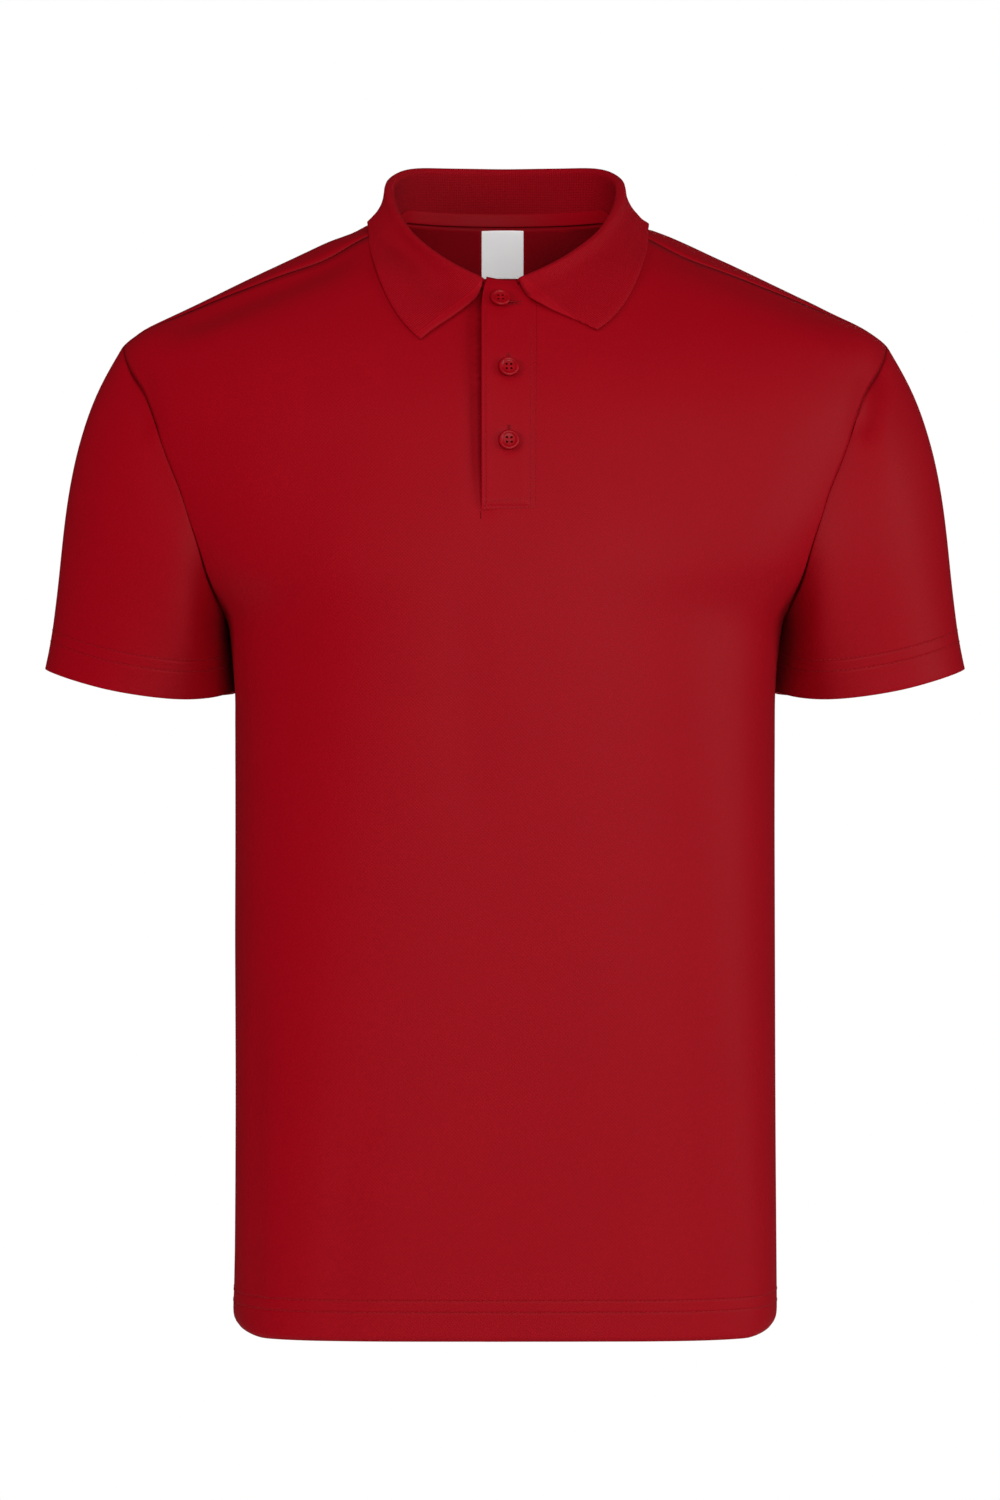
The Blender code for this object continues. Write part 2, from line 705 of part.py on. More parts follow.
def build_lower_band(front_outer, front_inner, first, collection):
    """The lower band: the part of the front's wall that the slot leaves out, a gap smaller all round."""
    faces = []
    for grid in (front_outer, front_inner):
        band = grid[first:, slot_columns()].copy()
        band[:, 0] = inset_edge(band[:, 0], band[:, 1], GAP)
        band[:, -1] = inset_edge(band[:, -1], band[:, -2], GAP)
        band[0] = inset_edge(band[0], band[1], GAP)
        faces.append(band)
    wall("placket_under", *faces, "jersey", collection)


def band_lift(name, z):
    return read(BAND_LIFT, "z", name, z)


def upper_band_face(across, z):
    """Points of the upper band's outer face: `across` runs from -1 at its free edge to 1 at its sewn one."""
    trim = band_lift("trim", z) * np.clip(-across, 0, 1)
    x = PLACKET_X + BAND_HALF_WIDTH * across + trim
    face = on_front(x, z)
    free = np.clip((1 - across) / 2, 0, 1) ** 1.5
    stand_off = GAP + BAND_CLOTH + band_lift("proud", z) * free
    return face + outward(face) * stand_off[..., None]


def build_upper_band(collection):
    """The upper band. Between the collar's ends it rises to meet the fold; under the collar it stops
    at the neck seam."""
    rows = 10
    x = np.broadcast_to(np.array(BAND_COLUMNS), (rows + 1, len(BAND_COLUMNS)))
    across = (x - PLACKET_X) / BAND_HALF_WIDTH
    share = np.linspace(0, 1, rows + 1)[:, None]
    top = neck_front_level(x) - GAP + np.where(x < BAND_RISE_END_X, BAND_RISE, 0.0)
    z = BAND_BOTTOM_Z + (top - BAND_BOTTOM_Z) * share
    outer = upper_band_face(across, z)
    inner = outer - outward(outer) * BAND_CLOTH
    wall("placket_over", outer, inner, "jersey", collection)


def neck_edge(front, sign):
    """Half of a panel's neck edge as its columns draw it, from the centre line, as if on the wearer's left."""
    line, neck = top_line(front)
    columns = np.sort(stations(neck, lengths(line)[-1], front) * sign)
    return along(line, columns[(columns >= 0) & (columns <= neck + 0.001)])


def collar_seam(sign, shares):
    """Points on the neck seam of one half of the shirt, at shares of the way from the collar's front end
    to the middle of the back."""
    front, back = neck_edge(True, sign), neck_edge(False, sign)
    start_x = COLLAR_SEAM_START_X + COLLAR_END_SHIFT * sign
    start = along(front, np.interp([start_x], front[:, 0], lengths(front)))
    line = np.concatenate([start, front[front[:, 0] > start_x], back[::-1][1:]])
    return along(line, np.clip(shares, 0, 1) * lengths(line)[-1])


def collar_sections():
    """The seam, fold and leaf edge of the collar at each of its columns, from its left front end round
    the back to its right one, with the fold's radius."""
    half = COLLAR_COLUMNS // 2
    rows = np.arange(len(COLLAR), dtype=float)
    share = np.linspace(0, rows[-1], half + 1)

    def through(*names):
        points = [[getattr(row, name) for name in names] for row in COLLAR]
        fine = flow(points, steps=20)
        index = np.linspace(0, rows[-1], len(fine))
        return np.stack([np.interp(share, index, fine[:, k]) for k in range(len(names))], axis=-1)

    fold = through("fold_x", "fold_y", "fold_z")
    leaf = through("leaf_x", "leaf_y", "leaf_z")
    measures = through("seam", "fold_radius")
    fade = np.clip(1 - share / 4, 0, 1)[:, None]
    sides = []
    for sign in (1.0, -1.0):
        flip = np.array((sign, 1.0, 1.0))
        seam = collar_seam(sign, measures[:, 0])
        end_shift = np.array((COLLAR_END_SHIFT, 0.0, 0.0)) * fade
        leaf_shift = np.array((LEAF_SHIFT, 0.0, 0.0)) * np.clip(3 - share / 4, 0, 1)[:, None]
        lift = np.array((0.0, 0.0, POINT_LIFT * sign)) * fade
        sides.append((seam * flip, fold * flip + end_shift, leaf * flip + leaf_shift + lift))
    joined = [np.concatenate([b, a[::-1][1:]]) for a, b in zip(*sides)]
    radius = np.concatenate([measures[:, 1], measures[::-1, 1][1:]])
    return (*joined, radius)


def leaf_clearance(points):
    """How far out the leaf's middle must lie: farther where it crosses the upper band."""
    over_band = np.clip(1 - np.abs(points[..., 0] - PLACKET_X - 8) / 26, 0, 1)
    high = np.clip((points[..., 2] + 70) / 12, 0, 1)
    lift = np.clip(2.2 * over_band * high, 0, 1)
    return LEAF_CLEARANCE + (LEAF_OVER_BAND - LEAF_CLEARANCE) * lift


def collar_middle():
    """The middle of the collar's cloth: rows up the stand, over the fold and down the leaf."""
    seam, fold, leaf, radius = collar_sections()
    inwards = outward(seam) * np.array((1.0, 1.0, 0.0))
    seam = seam - unit(inwards) * COLLAR_CLOTH / 2
    seam = seam + np.array((0.0, 0.0, COLLAR_LIFT))
    leaf = settled(leaf, LEAF_CLEARANCE)
    leaf = kept_clear(leaf, leaf_clearance(leaf))
    run = np.gradient(fold, axis=0)
    out = unit(np.stack([-run[:, 1], run[:, 0], np.zeros(len(run))], axis=-1))
    r = radius[:, None]
    up = np.array((0.0, 0.0, 1.0))
    centre = fold + out * r - up * r
    bend_start = centre - out * r
    rows = [seam + (bend_start - seam) * k / STAND_ROWS for k in range(STAND_ROWS)]
    for k in range(FOLD_ROWS + 1):
        turn = math.pi * k / FOLD_ROWS
        rows.append(centre - out * r * math.cos(turn) + up * r * math.sin(turn))
    start = rows[-1]
    span = np.linalg.norm(leaf - start, axis=1, keepdims=True)
    back_up = start - leaf
    face = outward(leaf)
    back_up = unit(back_up - face * (back_up * face).sum(axis=1, keepdims=True))
    control_a = start - up * span * 0.3
    control_b = leaf + back_up * span * 0.3
    for k in range(1, LEAF_ROWS + 1):
        t = k / LEAF_ROWS
        point = (
            (1 - t) ** 3 * start
            + 3 * (1 - t) ** 2 * t * control_a
            + 3 * (1 - t) * t**2 * control_b
            + t**3 * leaf
        )
        rows.append(kept_clear(point, leaf_clearance(point)))
    return np.array(rows)


def sheet_directions(grid):
    """Straight out of an open sheet of points, rows by columns."""
    return unit(np.cross(np.gradient(grid, axis=1), np.gradient(grid, axis=0)))


def build_collar(collection):
    middle = collar_middle()
    half = sheet_directions(middle) * COLLAR_CLOTH / 2
    wall("collar", middle + half, middle - half, "rib", collection)


def build_neck_tape(collection):
    """The tape that covers the back neck seam, on the inside of the stand."""
    middle = collar_middle()
    columns = range(COLLAR_COLUMNS // 4, COLLAR_COLUMNS - COLLAR_COLUMNS // 4 + 1)
    foot, top = middle[0][columns], middle[STAND_ROWS][columns]
    rows = []
    for z in (TAPE_BOTTOM_Z, (TAPE_BOTTOM_Z + TAPE_TOP_Z) / 2, TAPE_TOP_Z):
        share = (z - foot[:, 2:]) / (top[:, 2:] - foot[:, 2:])
        rows.append(foot + (top - foot) * share)
    grid = np.array(rows)
    away = unit(sheet_directions(grid) * np.array((1.0, 1.0, 0.0)))
    centre = grid.mean(axis=(0, 1))
    if ((centre - grid) * away).sum() < 0:
        away = -away
    near = grid + away * (COLLAR_CLOTH / 2 + GAP)
    wall("neck_tape", near, near + away * TRIM_CLOTH, "jersey", collection)


def build_label(collection):
    """A bare label that hangs from the tape, against the inside of the back panel."""
    columns, rows = 4, 5
    x = LABEL_X + LABEL_WIDTH / 2 * np.linspace(-1, 1, columns + 1)
    levels = np.linspace(LABEL_TOP_Z, LABEL_BOTTOM_Z, rows + 1)
    grid = np.zeros((rows + 1, columns + 1, 3))
    grid[..., 0] = x
    grid[..., 1] = read(BODY, "z", "back", levels)[:, None]
    grid[..., 2] = levels[:, None]
    outer = settled(grid, -(CLOTH + 2 * GAP))
    inner = settled(outer, -(CLOTH + 2 * GAP + TRIM_CLOTH))
    wall("label", outer, inner, "label", collection)


def button_mesh(collection):
    """A round button with a dished middle and four holes, its face towards +Z."""
    profile = (
        (0.0, BUTTON_DISH),
        (BUTTON_DISH_RADIUS - BUTTON_EDGE, BUTTON_DISH),
        (BUTTON_DISH_RADIUS + BUTTON_EDGE, BUTTON_RIM),
        (BUTTON_RADIUS - BUTTON_EDGE, BUTTON_RIM),
        (BUTTON_RADIUS, BUTTON_RIM - BUTTON_EDGE),
        (BUTTON_RADIUS - BUTTON_EDGE, 0.0),
        (0.0, 0.0),
    )
    outline = bpy.data.meshes.new("button_profile")
    edges = [(k, k + 1) for k in range(len(profile) - 1)]
    outline.from_pydata([(x * MM, 0.0, z * MM) for x, z in profile], edges, [])
    blank = bpy.data.objects.new("button_blank", outline)
    collection.objects.link(blank)
    turn = blank.modifiers.new("turn", "SCREW")
    turn.steps = turn.render_steps = 24
    turn.use_merge_vertices = True
    turn.merge_threshold = 0.00001
    bm = bmesh.new()
    for x in (-1, 1):
        for y in (-1, 1):
            place = Matrix.Translation(Vector((x, y, 0)) * HOLE_SPACING / 2 * MM + Vector((0, 0, BUTTON_RIM / 2 * MM)))
            bmesh.ops.create_cone(
                bm,
                cap_ends=True,
                segments=8,
                radius1=HOLE_RADIUS * MM,
                radius2=HOLE_RADIUS * MM,
                depth=3 * BUTTON_RIM * MM,
                matrix=place,
            )
    holes_mesh = bpy.data.meshes.new("button_holes")
    bm.to_mesh(holes_mesh)
    bm.free()
    holes = bpy.data.objects.new("button_holes", holes_mesh)
    collection.objects.link(holes)
    cut = blank.modifiers.new("holes", "BOOLEAN")
    cut.operation = "DIFFERENCE"
    cut.object = holes
    bpy.context.view_layer.update()
    graph = bpy.context.evaluated_depsgraph_get()
    mesh = bpy.data.meshes.new_from_object(blank.evaluated_get(graph))
    mesh.name = "button"
    for helper in (blank, holes):
        bpy.data.objects.remove(helper)
    return mesh


def build_buttons(collection):
    mesh = button_mesh(collection)
    turn = np.linspace(0, 2 * math.pi, 24, endpoint=False)
    for row in BUTTONS:
        x = row.x + BUTTON_RADIUS * np.concatenate([[0.0], np.cos(turn)])
        z = row.z + BUTTON_RADIUS * np.concatenate([[0.0], np.sin(turn)])
        points = upper_band_face((x - PLACKET_X) / BAND_HALF_WIDTH, z)
        ring = points[1:]
        facing = unit(np.cross(np.roll(ring, -1, axis=0) - points[0], ring - points[0]).sum(axis=0))
        facing = facing * -np.sign(facing[1])
        rise = ((points - points[0]) @ facing).max()
        button = add_object(row.name, mesh, "button", collection)
        button.rotation_mode = "QUATERNION"
        button.rotation_quaternion = Vector(facing).to_track_quat("Z", "Y")
        button.location = Vector(points[0] + facing * (rise + GAP)) * MM


def main():
    for obj in list(bpy.data.objects):
        bpy.data.objects.remove(obj)
    collection = bpy.data.collections.new("polo_shirt")
    bpy.context.scene.collection.children.link(collection)
    build_body(collection)
    build_upper_band(collection)
    build_collar(collection)
    build_neck_tape(collection)
    build_label(collection)
    build_buttons(collection)


main()
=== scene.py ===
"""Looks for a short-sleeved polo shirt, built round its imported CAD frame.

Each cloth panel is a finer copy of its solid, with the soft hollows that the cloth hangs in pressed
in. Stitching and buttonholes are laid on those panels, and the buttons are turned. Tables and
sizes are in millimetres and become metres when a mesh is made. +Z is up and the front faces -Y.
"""

import json
import logging
import math
from dataclasses import dataclass, replace
from enum import Enum
from typing import Callable, Iterable, Optional, Sequence, Union

import bmesh
import bpy
import numpy as np
from mathutils import Matrix, Vector
from mathutils.bvhtree import BVHTree
from mathutils.kdtree import KDTree

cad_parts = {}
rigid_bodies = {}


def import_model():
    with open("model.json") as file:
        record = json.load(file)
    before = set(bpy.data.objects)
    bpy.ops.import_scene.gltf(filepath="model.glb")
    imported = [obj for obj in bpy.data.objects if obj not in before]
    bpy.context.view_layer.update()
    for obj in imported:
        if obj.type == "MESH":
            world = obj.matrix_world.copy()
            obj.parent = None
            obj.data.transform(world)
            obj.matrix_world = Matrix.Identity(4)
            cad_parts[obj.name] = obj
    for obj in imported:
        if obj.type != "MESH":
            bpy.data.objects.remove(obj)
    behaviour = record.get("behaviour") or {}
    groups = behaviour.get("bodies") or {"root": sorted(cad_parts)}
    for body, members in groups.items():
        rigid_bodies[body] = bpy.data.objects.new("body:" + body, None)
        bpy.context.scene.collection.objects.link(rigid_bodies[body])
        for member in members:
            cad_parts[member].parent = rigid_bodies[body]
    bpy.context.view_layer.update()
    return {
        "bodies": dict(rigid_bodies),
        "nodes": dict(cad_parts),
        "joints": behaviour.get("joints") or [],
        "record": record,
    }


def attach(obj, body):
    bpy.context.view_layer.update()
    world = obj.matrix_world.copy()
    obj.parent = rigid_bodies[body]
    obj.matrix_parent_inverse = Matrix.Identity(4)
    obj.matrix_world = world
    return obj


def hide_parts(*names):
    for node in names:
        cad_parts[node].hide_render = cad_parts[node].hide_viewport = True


MM = 0.001
Number = Union[float, "Value"]
Colour = tuple[float, ...]
Spot = tuple[float, float]
Line = list[tuple[Vector, Vector]]

# Sizes that several pieces share, in millimetres.
FAR = 99.0  # more than any seam, row of stitches or slide reaches
HEM_ROWS = (18.6, 26.0)  # the rows of stitches, up from the hem and the cuffs
CAP_Z = -128.0  # above this level a panel's or a sleeve's rims are its seams
MERGED = 0.02  # points closer than this are one
CLOSED_UP = 0.12  # edges shorter than this are closed up before a mesh is divided
RIM_STEP = 0.5  # between two points along a rim
IN_FRONT = -300.0  # a place in front of the whole shirt

# Angles, shares and counts.
RIM_ANGLE = math.radians(48)  # a sharper edge is a rim, where the cloth is cut
JOIN_ANGLE = math.radians(45)  # triangles that meet at less become one face
LINE_STEPS = 60  # points that find a straight line on the cloth
SLIDE = 0.25  # the share of its shortest edge by which a point may slide along the cloth
OUTWARDS = 0.35  # a face that looks this much away from the middle is on the outer wall
UPRIGHT = 0.4  # a face that looks up or down less than this is upright

# Looks that several finishes share.
WHITE = (1.0, 1.0, 1.0, 1.0)
SHEEN = {"Sheen_Weight": 0.01, "Sheen_Tint": (1.0, 0.35, 0.4, 1.0)}
MATT = 0.1
SATIN = 0.3

log = logging.getLogger("polo_shirt")


class Slot(Enum):
    """The record's material slots."""

    JERSEY = "jersey"
    RIB = "rib"
    LABEL = "label"
    BUTTON = "button"


class Side(Enum):
    """Which side of a piece a hollow is pressed into."""

    FRONT = -1.0
    BACK = 1.0
    TOP = 0.0


# ---------------------------------------------------------------- shader maths


class Value:
    """A shader socket that takes part in Python sums. Each operator adds its Math node."""

    def __init__(self, shader: "Shader", socket: bpy.types.NodeSocket) -> None:
        """Wraps one output socket of a shader."""
        self.shader = shader
        self.socket = socket

    def _math(self, operation: str, *values: Number) -> "Value":
        """Adds a Math node of this operation, with the values as its inputs in order."""
        return self.shader.node("ShaderNodeMath", {"operation": operation}, dict(enumerate(values)))

    def __add__(self, other: Number) -> "Value":
        """Self plus other."""
        return self._math("ADD", self, other)

    def __radd__(self, other: Number) -> "Value":
        """Other plus self."""
        return self._math("ADD", other, self)

    def __sub__(self, other: Number) -> "Value":
        """Self minus other."""
        return self._math("SUBTRACT", self, other)

    def __rsub__(self, other: Number) -> "Value":
        """Other minus self."""
        return self._math("SUBTRACT", other, self)

    def __mul__(self, other: Number) -> "Value":
        """Self times other."""
        return self._math("MULTIPLY", self, other)

    def __rmul__(self, other: Number) -> "Value":
        """Other times self."""
        return self._math("MULTIPLY", other, self)

    def __truediv__(self, other: Number) -> "Value":
        """Self over other."""
        return self._math("DIVIDE", self, other)

    def __rtruediv__(self, other: Number) -> "Value":
        """Other over self."""
        return self._math("DIVIDE", other, self)

    def wave(self, length: float) -> "Value":
        """A sine along self, each of whose waves has this length."""
        return self._math("SINE", self * (2 * math.pi / length))

    def bell(self, centre: float, width: float) -> "Value":
        """1 where self is at the centre, fading to 0 about two widths away."""
        away = (self - centre) / width
        return self._math("EXPONENT", away * away * -1.0)

    def ramp(self, low: float, high: float) -> "Value":
        """0 where self is under low, 1 over high, and smooth between."""
        inputs = {"Value": self, "From Min": low, "From Max": high}
        return self.shader.node("ShaderNodeMapRange", {"interpolation_type": "SMOOTHSTEP"}, inputs)


class Shader:
    """One material's nodes round its Principled shader."""

    def __init__(self, name: str) -> None:
        """Starts a material of this name with a bare Principled shader."""
        self.material = bpy.data.materials.new(name)
        self.material.use_nodes = True
        self.tree = self.material.node_tree
        self.principled = self.tree.nodes["Principled BSDF"]

    def node(self, kind: str, settings: dict, inputs: dict, output: Union[int, str] = 0) -> Value:
        """Adds any node.

        Args:
            kind: the node's type.
            settings: its properties, which are set first.
            inputs: its sockets by name or place, as numbers, colours or values.
            output: the socket that is wanted.

        Returns:
            That output.
        """
        made = self.tree.nodes.new(kind)
        for name, setting in settings.items():
            setattr(made, name, setting)
        for name, value in inputs.items():
            self.feed(made.inputs[name], value)
        return Value(self, made.outputs[output])

    def feed(self, socket: bpy.types.NodeSocket, value: Union[Number, Colour]) -> None:
        """Fills a socket.

        Args:
            socket: an input of one of the material's nodes.
            value: what is linked to it, or the number or colour that it holds.
        """
        if isinstance(value, Value):
            self.tree.links.new(value.socket, socket)
        elif isinstance(value, tuple) and len(value) == 3 and socket.type == "RGBA":
            socket.default_value = (*value, 1.0)
        else:
            socket.default_value = value

    def mix(self, share: Number, low: Union[Value, Colour], high: Union[Value, Colour]) -> Value:
        """A colour between low, where share is 0, and high, where it is 1."""
        settings = {"data_type": "RGBA", "clamp_factor": True}
        return self.node("ShaderNodeMix", settings, {0: share, 6: low, 7: high}, 2)

    def axes(self, output: str) -> list[Value]:
        """The three parts of one of Texture Coordinate's outputs."""
        whole = self.node("ShaderNodeTexCoord", {}, {}, output)
        return [self.node("ShaderNodeSeparateXYZ", {}, {0: whole}, axis) for axis in range(3)]

    def place(self) -> list[Value]:
        """Where a point is on the object, in millimetres."""
        return [part * (1 / MM) for part in self.axes("Object")]

    def facing(self) -> list[Value]:
        """How much a point faces each axis, from 0 to 1."""
        return [part * part for part in self.axes("Normal")]

    def noise(self, size: float, detail: float = 2.0) -> Value:
        """Soft noise.

        Args:
            size: about how many millimetres its patches are across.
            detail: how many finer layers lie on them.

        Returns:
            Its value from 0 to 1.
        """
        point = self.node("ShaderNodeTexCoord", {}, {}, "Object")
        inputs = {"Vector": point, "Scale": 1 / MM / size, "Detail": detail}
        return self.node("ShaderNodeTexNoise", {}, inputs, "Fac")

    def attribute(self, name: str) -> Value:
        """A number stored at the mesh's points."""
        return self.node("ShaderNodeAttribute", {"attribute_name": name}, {}, "Fac")

    def bump(self, height: Value, strength: float) -> Value:
        """A normal bent by a height in millimetres."""
        inputs = {"Height": height, "Distance": MM, "Strength": strength}
        return self.node("ShaderNodeBump", {}, inputs, "Normal")

    def set(self, **values: Union[Number, Colour]) -> bpy.types.Material:
        """Finishes the material.

        Args:
            values: what the Principled shader's sockets get, named with _ for a space.

        Returns:
            The material.
        """
        for name, value in values.items():
            self.feed(self.principled.inputs[name.replace("_", " ")], value)
        return self.material


# ---------------------------------------------------------------- finishes


@dataclass(frozen=True)
class Knit:
    """Deep red fine cotton knit: a honeycomb of small stitches, with painted shade along its seams.
    """

    name: str = "knit"
    light: Colour = (0.338, 0.0006, 0.0066)
    dark: Colour = (0.265, 0.0004, 0.0050)
    pitch: float = 1.15
    relief: float = 0.035
    patch: float = 38.0
    fluff: float = 1.6
    fluff_relief: float = 0.06
    rows: tuple[float, ...] = HEM_ROWS
    row_depth: float = 0.30
    row_width: float = 0.75
    seam_depth: float = 0.7
    seam_width: float = 1.1
    # how much painted shade darkens the colour along the seams
    seam_painted_shade: float = 0.45
    roughness: float = 0.50

    def height(self, shader: Shader) -> Value:
        """The honeycomb's height.

        Args:
            shader: the material's nodes.

        Returns:
            Its height from -1 to 1, laid on from three sides.
        """
        x, y, z = shader.place()
        face_x, face_y, face_z = shader.facing()
        wave_x, wave_y, wave_z = (part.wave(2 * self.pitch) for part in (x, y, z))
        return wave_x * wave_z * face_y + wave_y * wave_z * face_x + wave_x * wave_y * face_z

    def material(self) -> bpy.types.Material:
        """Makes the material.

        Returns:
            The finished material.
        """
        shader = Shader(self.name)
        knit = self.height(shader)
        seam = shader.attribute("seam_mm")
        edge = shader.attribute("edge_mm")
        crease = seam.bell(0.0, self.seam_width)
        soft = shader.noise(self.patch, 1.0)
        fine = shader.noise(self.fluff)
        # How much each pattern lightens the yarn
        share = knit * 0.11 + soft * 0.25 + fine * 0.5 + 0.12
        # Painted shade: the colour darkens along the seams, where the crease's shade falls
        colour = shader.mix(share - crease * self.seam_painted_shade, self.dark, self.light)
        height = knit * self.relief + fine * self.fluff_relief - crease * self.seam_depth
        for row in self.rows:
            height = height - edge.bell(row, self.row_width) * self.row_depth
        return shader.set(
            Base_Color=colour,
            Roughness=self.roughness + fine * 0.12,
            Normal=shader.bump(height, 0.9),
            Sheen_Roughness=0.5,
            Specular_IOR_Level=MATT,
            **SHEEN,
        )


@dataclass(frozen=True)
class Rib:
    """Flat-knit rib: raised ribs from the neck seam to the leaf's edge, tighter in the stand.

    Painted shade darkens the stand, and a painted highlight lightens the leaf's edge.
    """

    light: Colour = (0.385, 0.0014, 0.0085)
    dark: Colour = (0.235, 0.0004, 0.0046)
    pitch: float = 1.3
    course: float = 1.1
    relief: float = 0.13
    # where a painted highlight lightens the leaf's edge: its distance from the edge and its width
    edge_highlight: Spot = (0.6, 1.1)
    # the stand, tighter and darkened by painted shade: where its fade begins and ends
    stand: Spot = (0.5, 5.0)

    def material(self) -> bpy.types.Material:
        """Makes the material.

        Returns:
            The finished material.
        """
        shader = Shader("flat_knit_rib")
        along = shader.attribute("rib_mm")
        across = shader.attribute("across_mm")
        edge = shader.attribute("edge_mm")
        rib = along.wave(self.pitch)
        row = across.wave(self.course)
        edge_highlight = edge.bell(*self.edge_highlight)
        fine = shader.noise(1.4)
        stand = (across * -1.0).ramp(*self.stand)
        # How much each pattern lightens the yarn
        share = rib * 0.30 + row * (stand * 0.2 + 0.10) + fine * 0.35 + 0.38
        # Painted shade darkens the stand inside the fold, and a painted highlight lightens the
        # leaf's edge
        share = share - stand * 0.36 + edge_highlight * 0.05
        height = rib * self.relief + row * (stand * 0.06 + 0.05)
        return shader.set(
            Base_Color=shader.mix(share, self.dark, self.light),
            Roughness=0.62 + fine * 0.1,
            Normal=shader.bump(height, 0.9),
            Specular_IOR_Level=MATT,
            **SHEEN,
        )


@dataclass(frozen=True)
class Thread:
    """Twisted sewing thread of the cloth's own red."""

    light: Colour = (0.37, 0.0012, 0.0066)
    dark: Colour = (0.24, 0.0004, 0.0038)
    twist: float = 0.45

    def material(self) -> bpy.types.Material:
        """Makes the material.

        Returns:
            The finished material.
        """
        shader = Shader("sewing_thread")
        x, y, z = shader.place()
        ply = (x + y + z).wave(self.twist)
        return shader.set(
            Base_Color=shader.mix(ply * 0.3 + 0.5, self.dark, self.light),
            Roughness=0.62,
            Normal=shader.bump(ply * 0.03, 0.8),
            Specular_IOR_Level=SATIN,
        )


@dataclass(frozen=True)
class DarkSlit:
    """Painted shadow: the dark inside of a buttonhole's cut or a button's hole, and of a pinched
    crease.
    """

    light: Colour = (0.07, 0.001, 0.003)
    dark: Colour = (0.035, 0.0006, 0.0016)

    def material(self) -> bpy.types.Material:
        """Makes the material.

        Returns:
            The finished material.
        """
        shader = Shader("shadowed_slit")
        colour = shader.mix(shader.noise(0.8), self.dark, self.light)
        return shader.set(Base_Color=colour, Roughness=0.9, Specular_IOR_Level=MATT)


@dataclass(frozen=True)
class Resin:
    """Moulded red button resin with a faint marbling."""

    light: Colour = (0.33, 0.0010, 0.0062)
    dark: Colour = (0.27, 0.0006, 0.0046)
    cloud: float = 4.5
    grain: float = 0.9

    def material(self) -> bpy.types.Material:
        """Makes the material.

        Returns:
            The finished material.
        """
        shader = Shader("button_resin")
        cloud = shader.noise(self.cloud, 3.0)
        fine = shader.noise(self.grain, 1.0)
        return shader.set(
            Base_Color=shader.mix(cloud.ramp(0.3, 0.7), self.dark, self.light),
            Roughness=0.36 + fine * 0.06,
            Specular_IOR_Level=0.18,
        )


@dataclass(frozen=True)
class WovenLabel:
    """Bare white woven tape, with a painted glow that lifts it out of the neck's shade."""

    white: Colour = (0.97, 0.97, 0.97)
    grey: Colour = (0.86, 0.86, 0.87)
    yarn: float = 0.42
    # strength of the painted glow
    painted_glow: float = 0.28

    def material(self) -> bpy.types.Material:
        """Makes the material.

        Returns:
            The finished material.
        """
        shader = Shader("woven_label")
        x, _, z = shader.place()
        weave = x.wave(self.yarn) * z.wave(self.yarn)
        return shader.set(
            Base_Color=shader.mix(weave * 0.3 + 0.65, self.grey, self.white),
            Roughness=0.62 + weave * 0.06,
            Normal=shader.bump(weave * 0.05, 0.7),
            Specular_IOR_Level=SATIN,
            # Painted light: a white glow, though the label is no lamp
            Emission_Color=WHITE,
            Emission_Strength=self.painted_glow,
        )


@dataclass(frozen=True)
class StudioWhite:
    """Plain matt white of the studio's floor."""

    light: Colour = (0.93, 0.93, 0.93)
    dark: Colour = (0.90, 0.90, 0.90)

    def material(self) -> bpy.types.Material:
        """Makes the material.

        Returns:
            The finished material.
        """
        shader = Shader("studio_white")
        colour = shader.mix(shader.noise(240.0, 1.0), self.dark, self.light)
        return shader.set(Base_Color=colour, Roughness=0.9, Specular_IOR_Level=MATT)


# ---------------------------------------------------------------- hollows in the cloth


@dataclass(frozen=True)
class Hollow:
    """A soft trough from one end to another, seen from the front: sideways and up.

    A negative depth makes it a ridge. `upper` is its width above the line where that differs, and
    `full` is the share of its length that has the full depth.
    """

    side: Side
    start: Spot
    end: Spot
    depth: float
    width: float
    upper: float = 0.0
    full: float = 0.45

    def sink(self, points: np.ndarray, facing: np.ndarray) -> np.ndarray:
        """How far in this hollow presses the cloth.

        Args:
            points: the cloth's points in millimetres.
            facing: which way the cloth's outer face looks at each.

        Returns:
            The depth at each point in millimetres.
        """
        run = np.array(self.end) - np.array(self.start)
        length = np.linalg.norm(run)
        flat = points[:, (0, 2)] - np.array(self.start)
        share = flat @ run / length**2
        away = flat @ np.array((-run[1], run[0])) / length * math.copysign(1.0, run[0])
        width = np.where(away > 0, self.upper or self.width, self.width)
        past = np.maximum(0.0, np.abs(share - 0.5) * 2 - self.full) / (1 - self.full)
        fade = np.clip(1 - past**2, 0, 1) ** 2
        # 1 where the cloth faces the hollow's side, or for the top where it doesn't face back
        turned = facing[:, 1] * self.side.value * 2.2 + 0.15
        if self.side is Side.TOP:
            turned = (0.4 - facing[:, 1]) / 0.35
        return self.depth * np.exp(-((away / width) ** 2)) * fade * np.clip(turned, 0, 1)


def hollows(side: Side, *rows: tuple[float, ...]) -> tuple[Hollow, ...]:
    """Hollows in one side, each from a row of its two ends, its depth and its width or widths."""
    return tuple(Hollow(side, row[:2], row[2:4], *row[4:]) for row in rows)


def mirrored(pressed: Sequence[Hollow], share: float) -> tuple[Hollow, ...]:
    """The same hollows on the other side of the shirt.

    Args:
        pressed: the hollows.
        share: the share of their depth that their likes have.

    Returns:
        Their likes.
    """
    made = []
    for one in pressed:
        start, end = (-one.start[0], one.start[1]), (-one.end[0], one.end[1])
        made.append(replace(one, start=start, end=end, depth=one.depth * share))
    return tuple(made)


# ---------------------------------------------------------------- mesh work


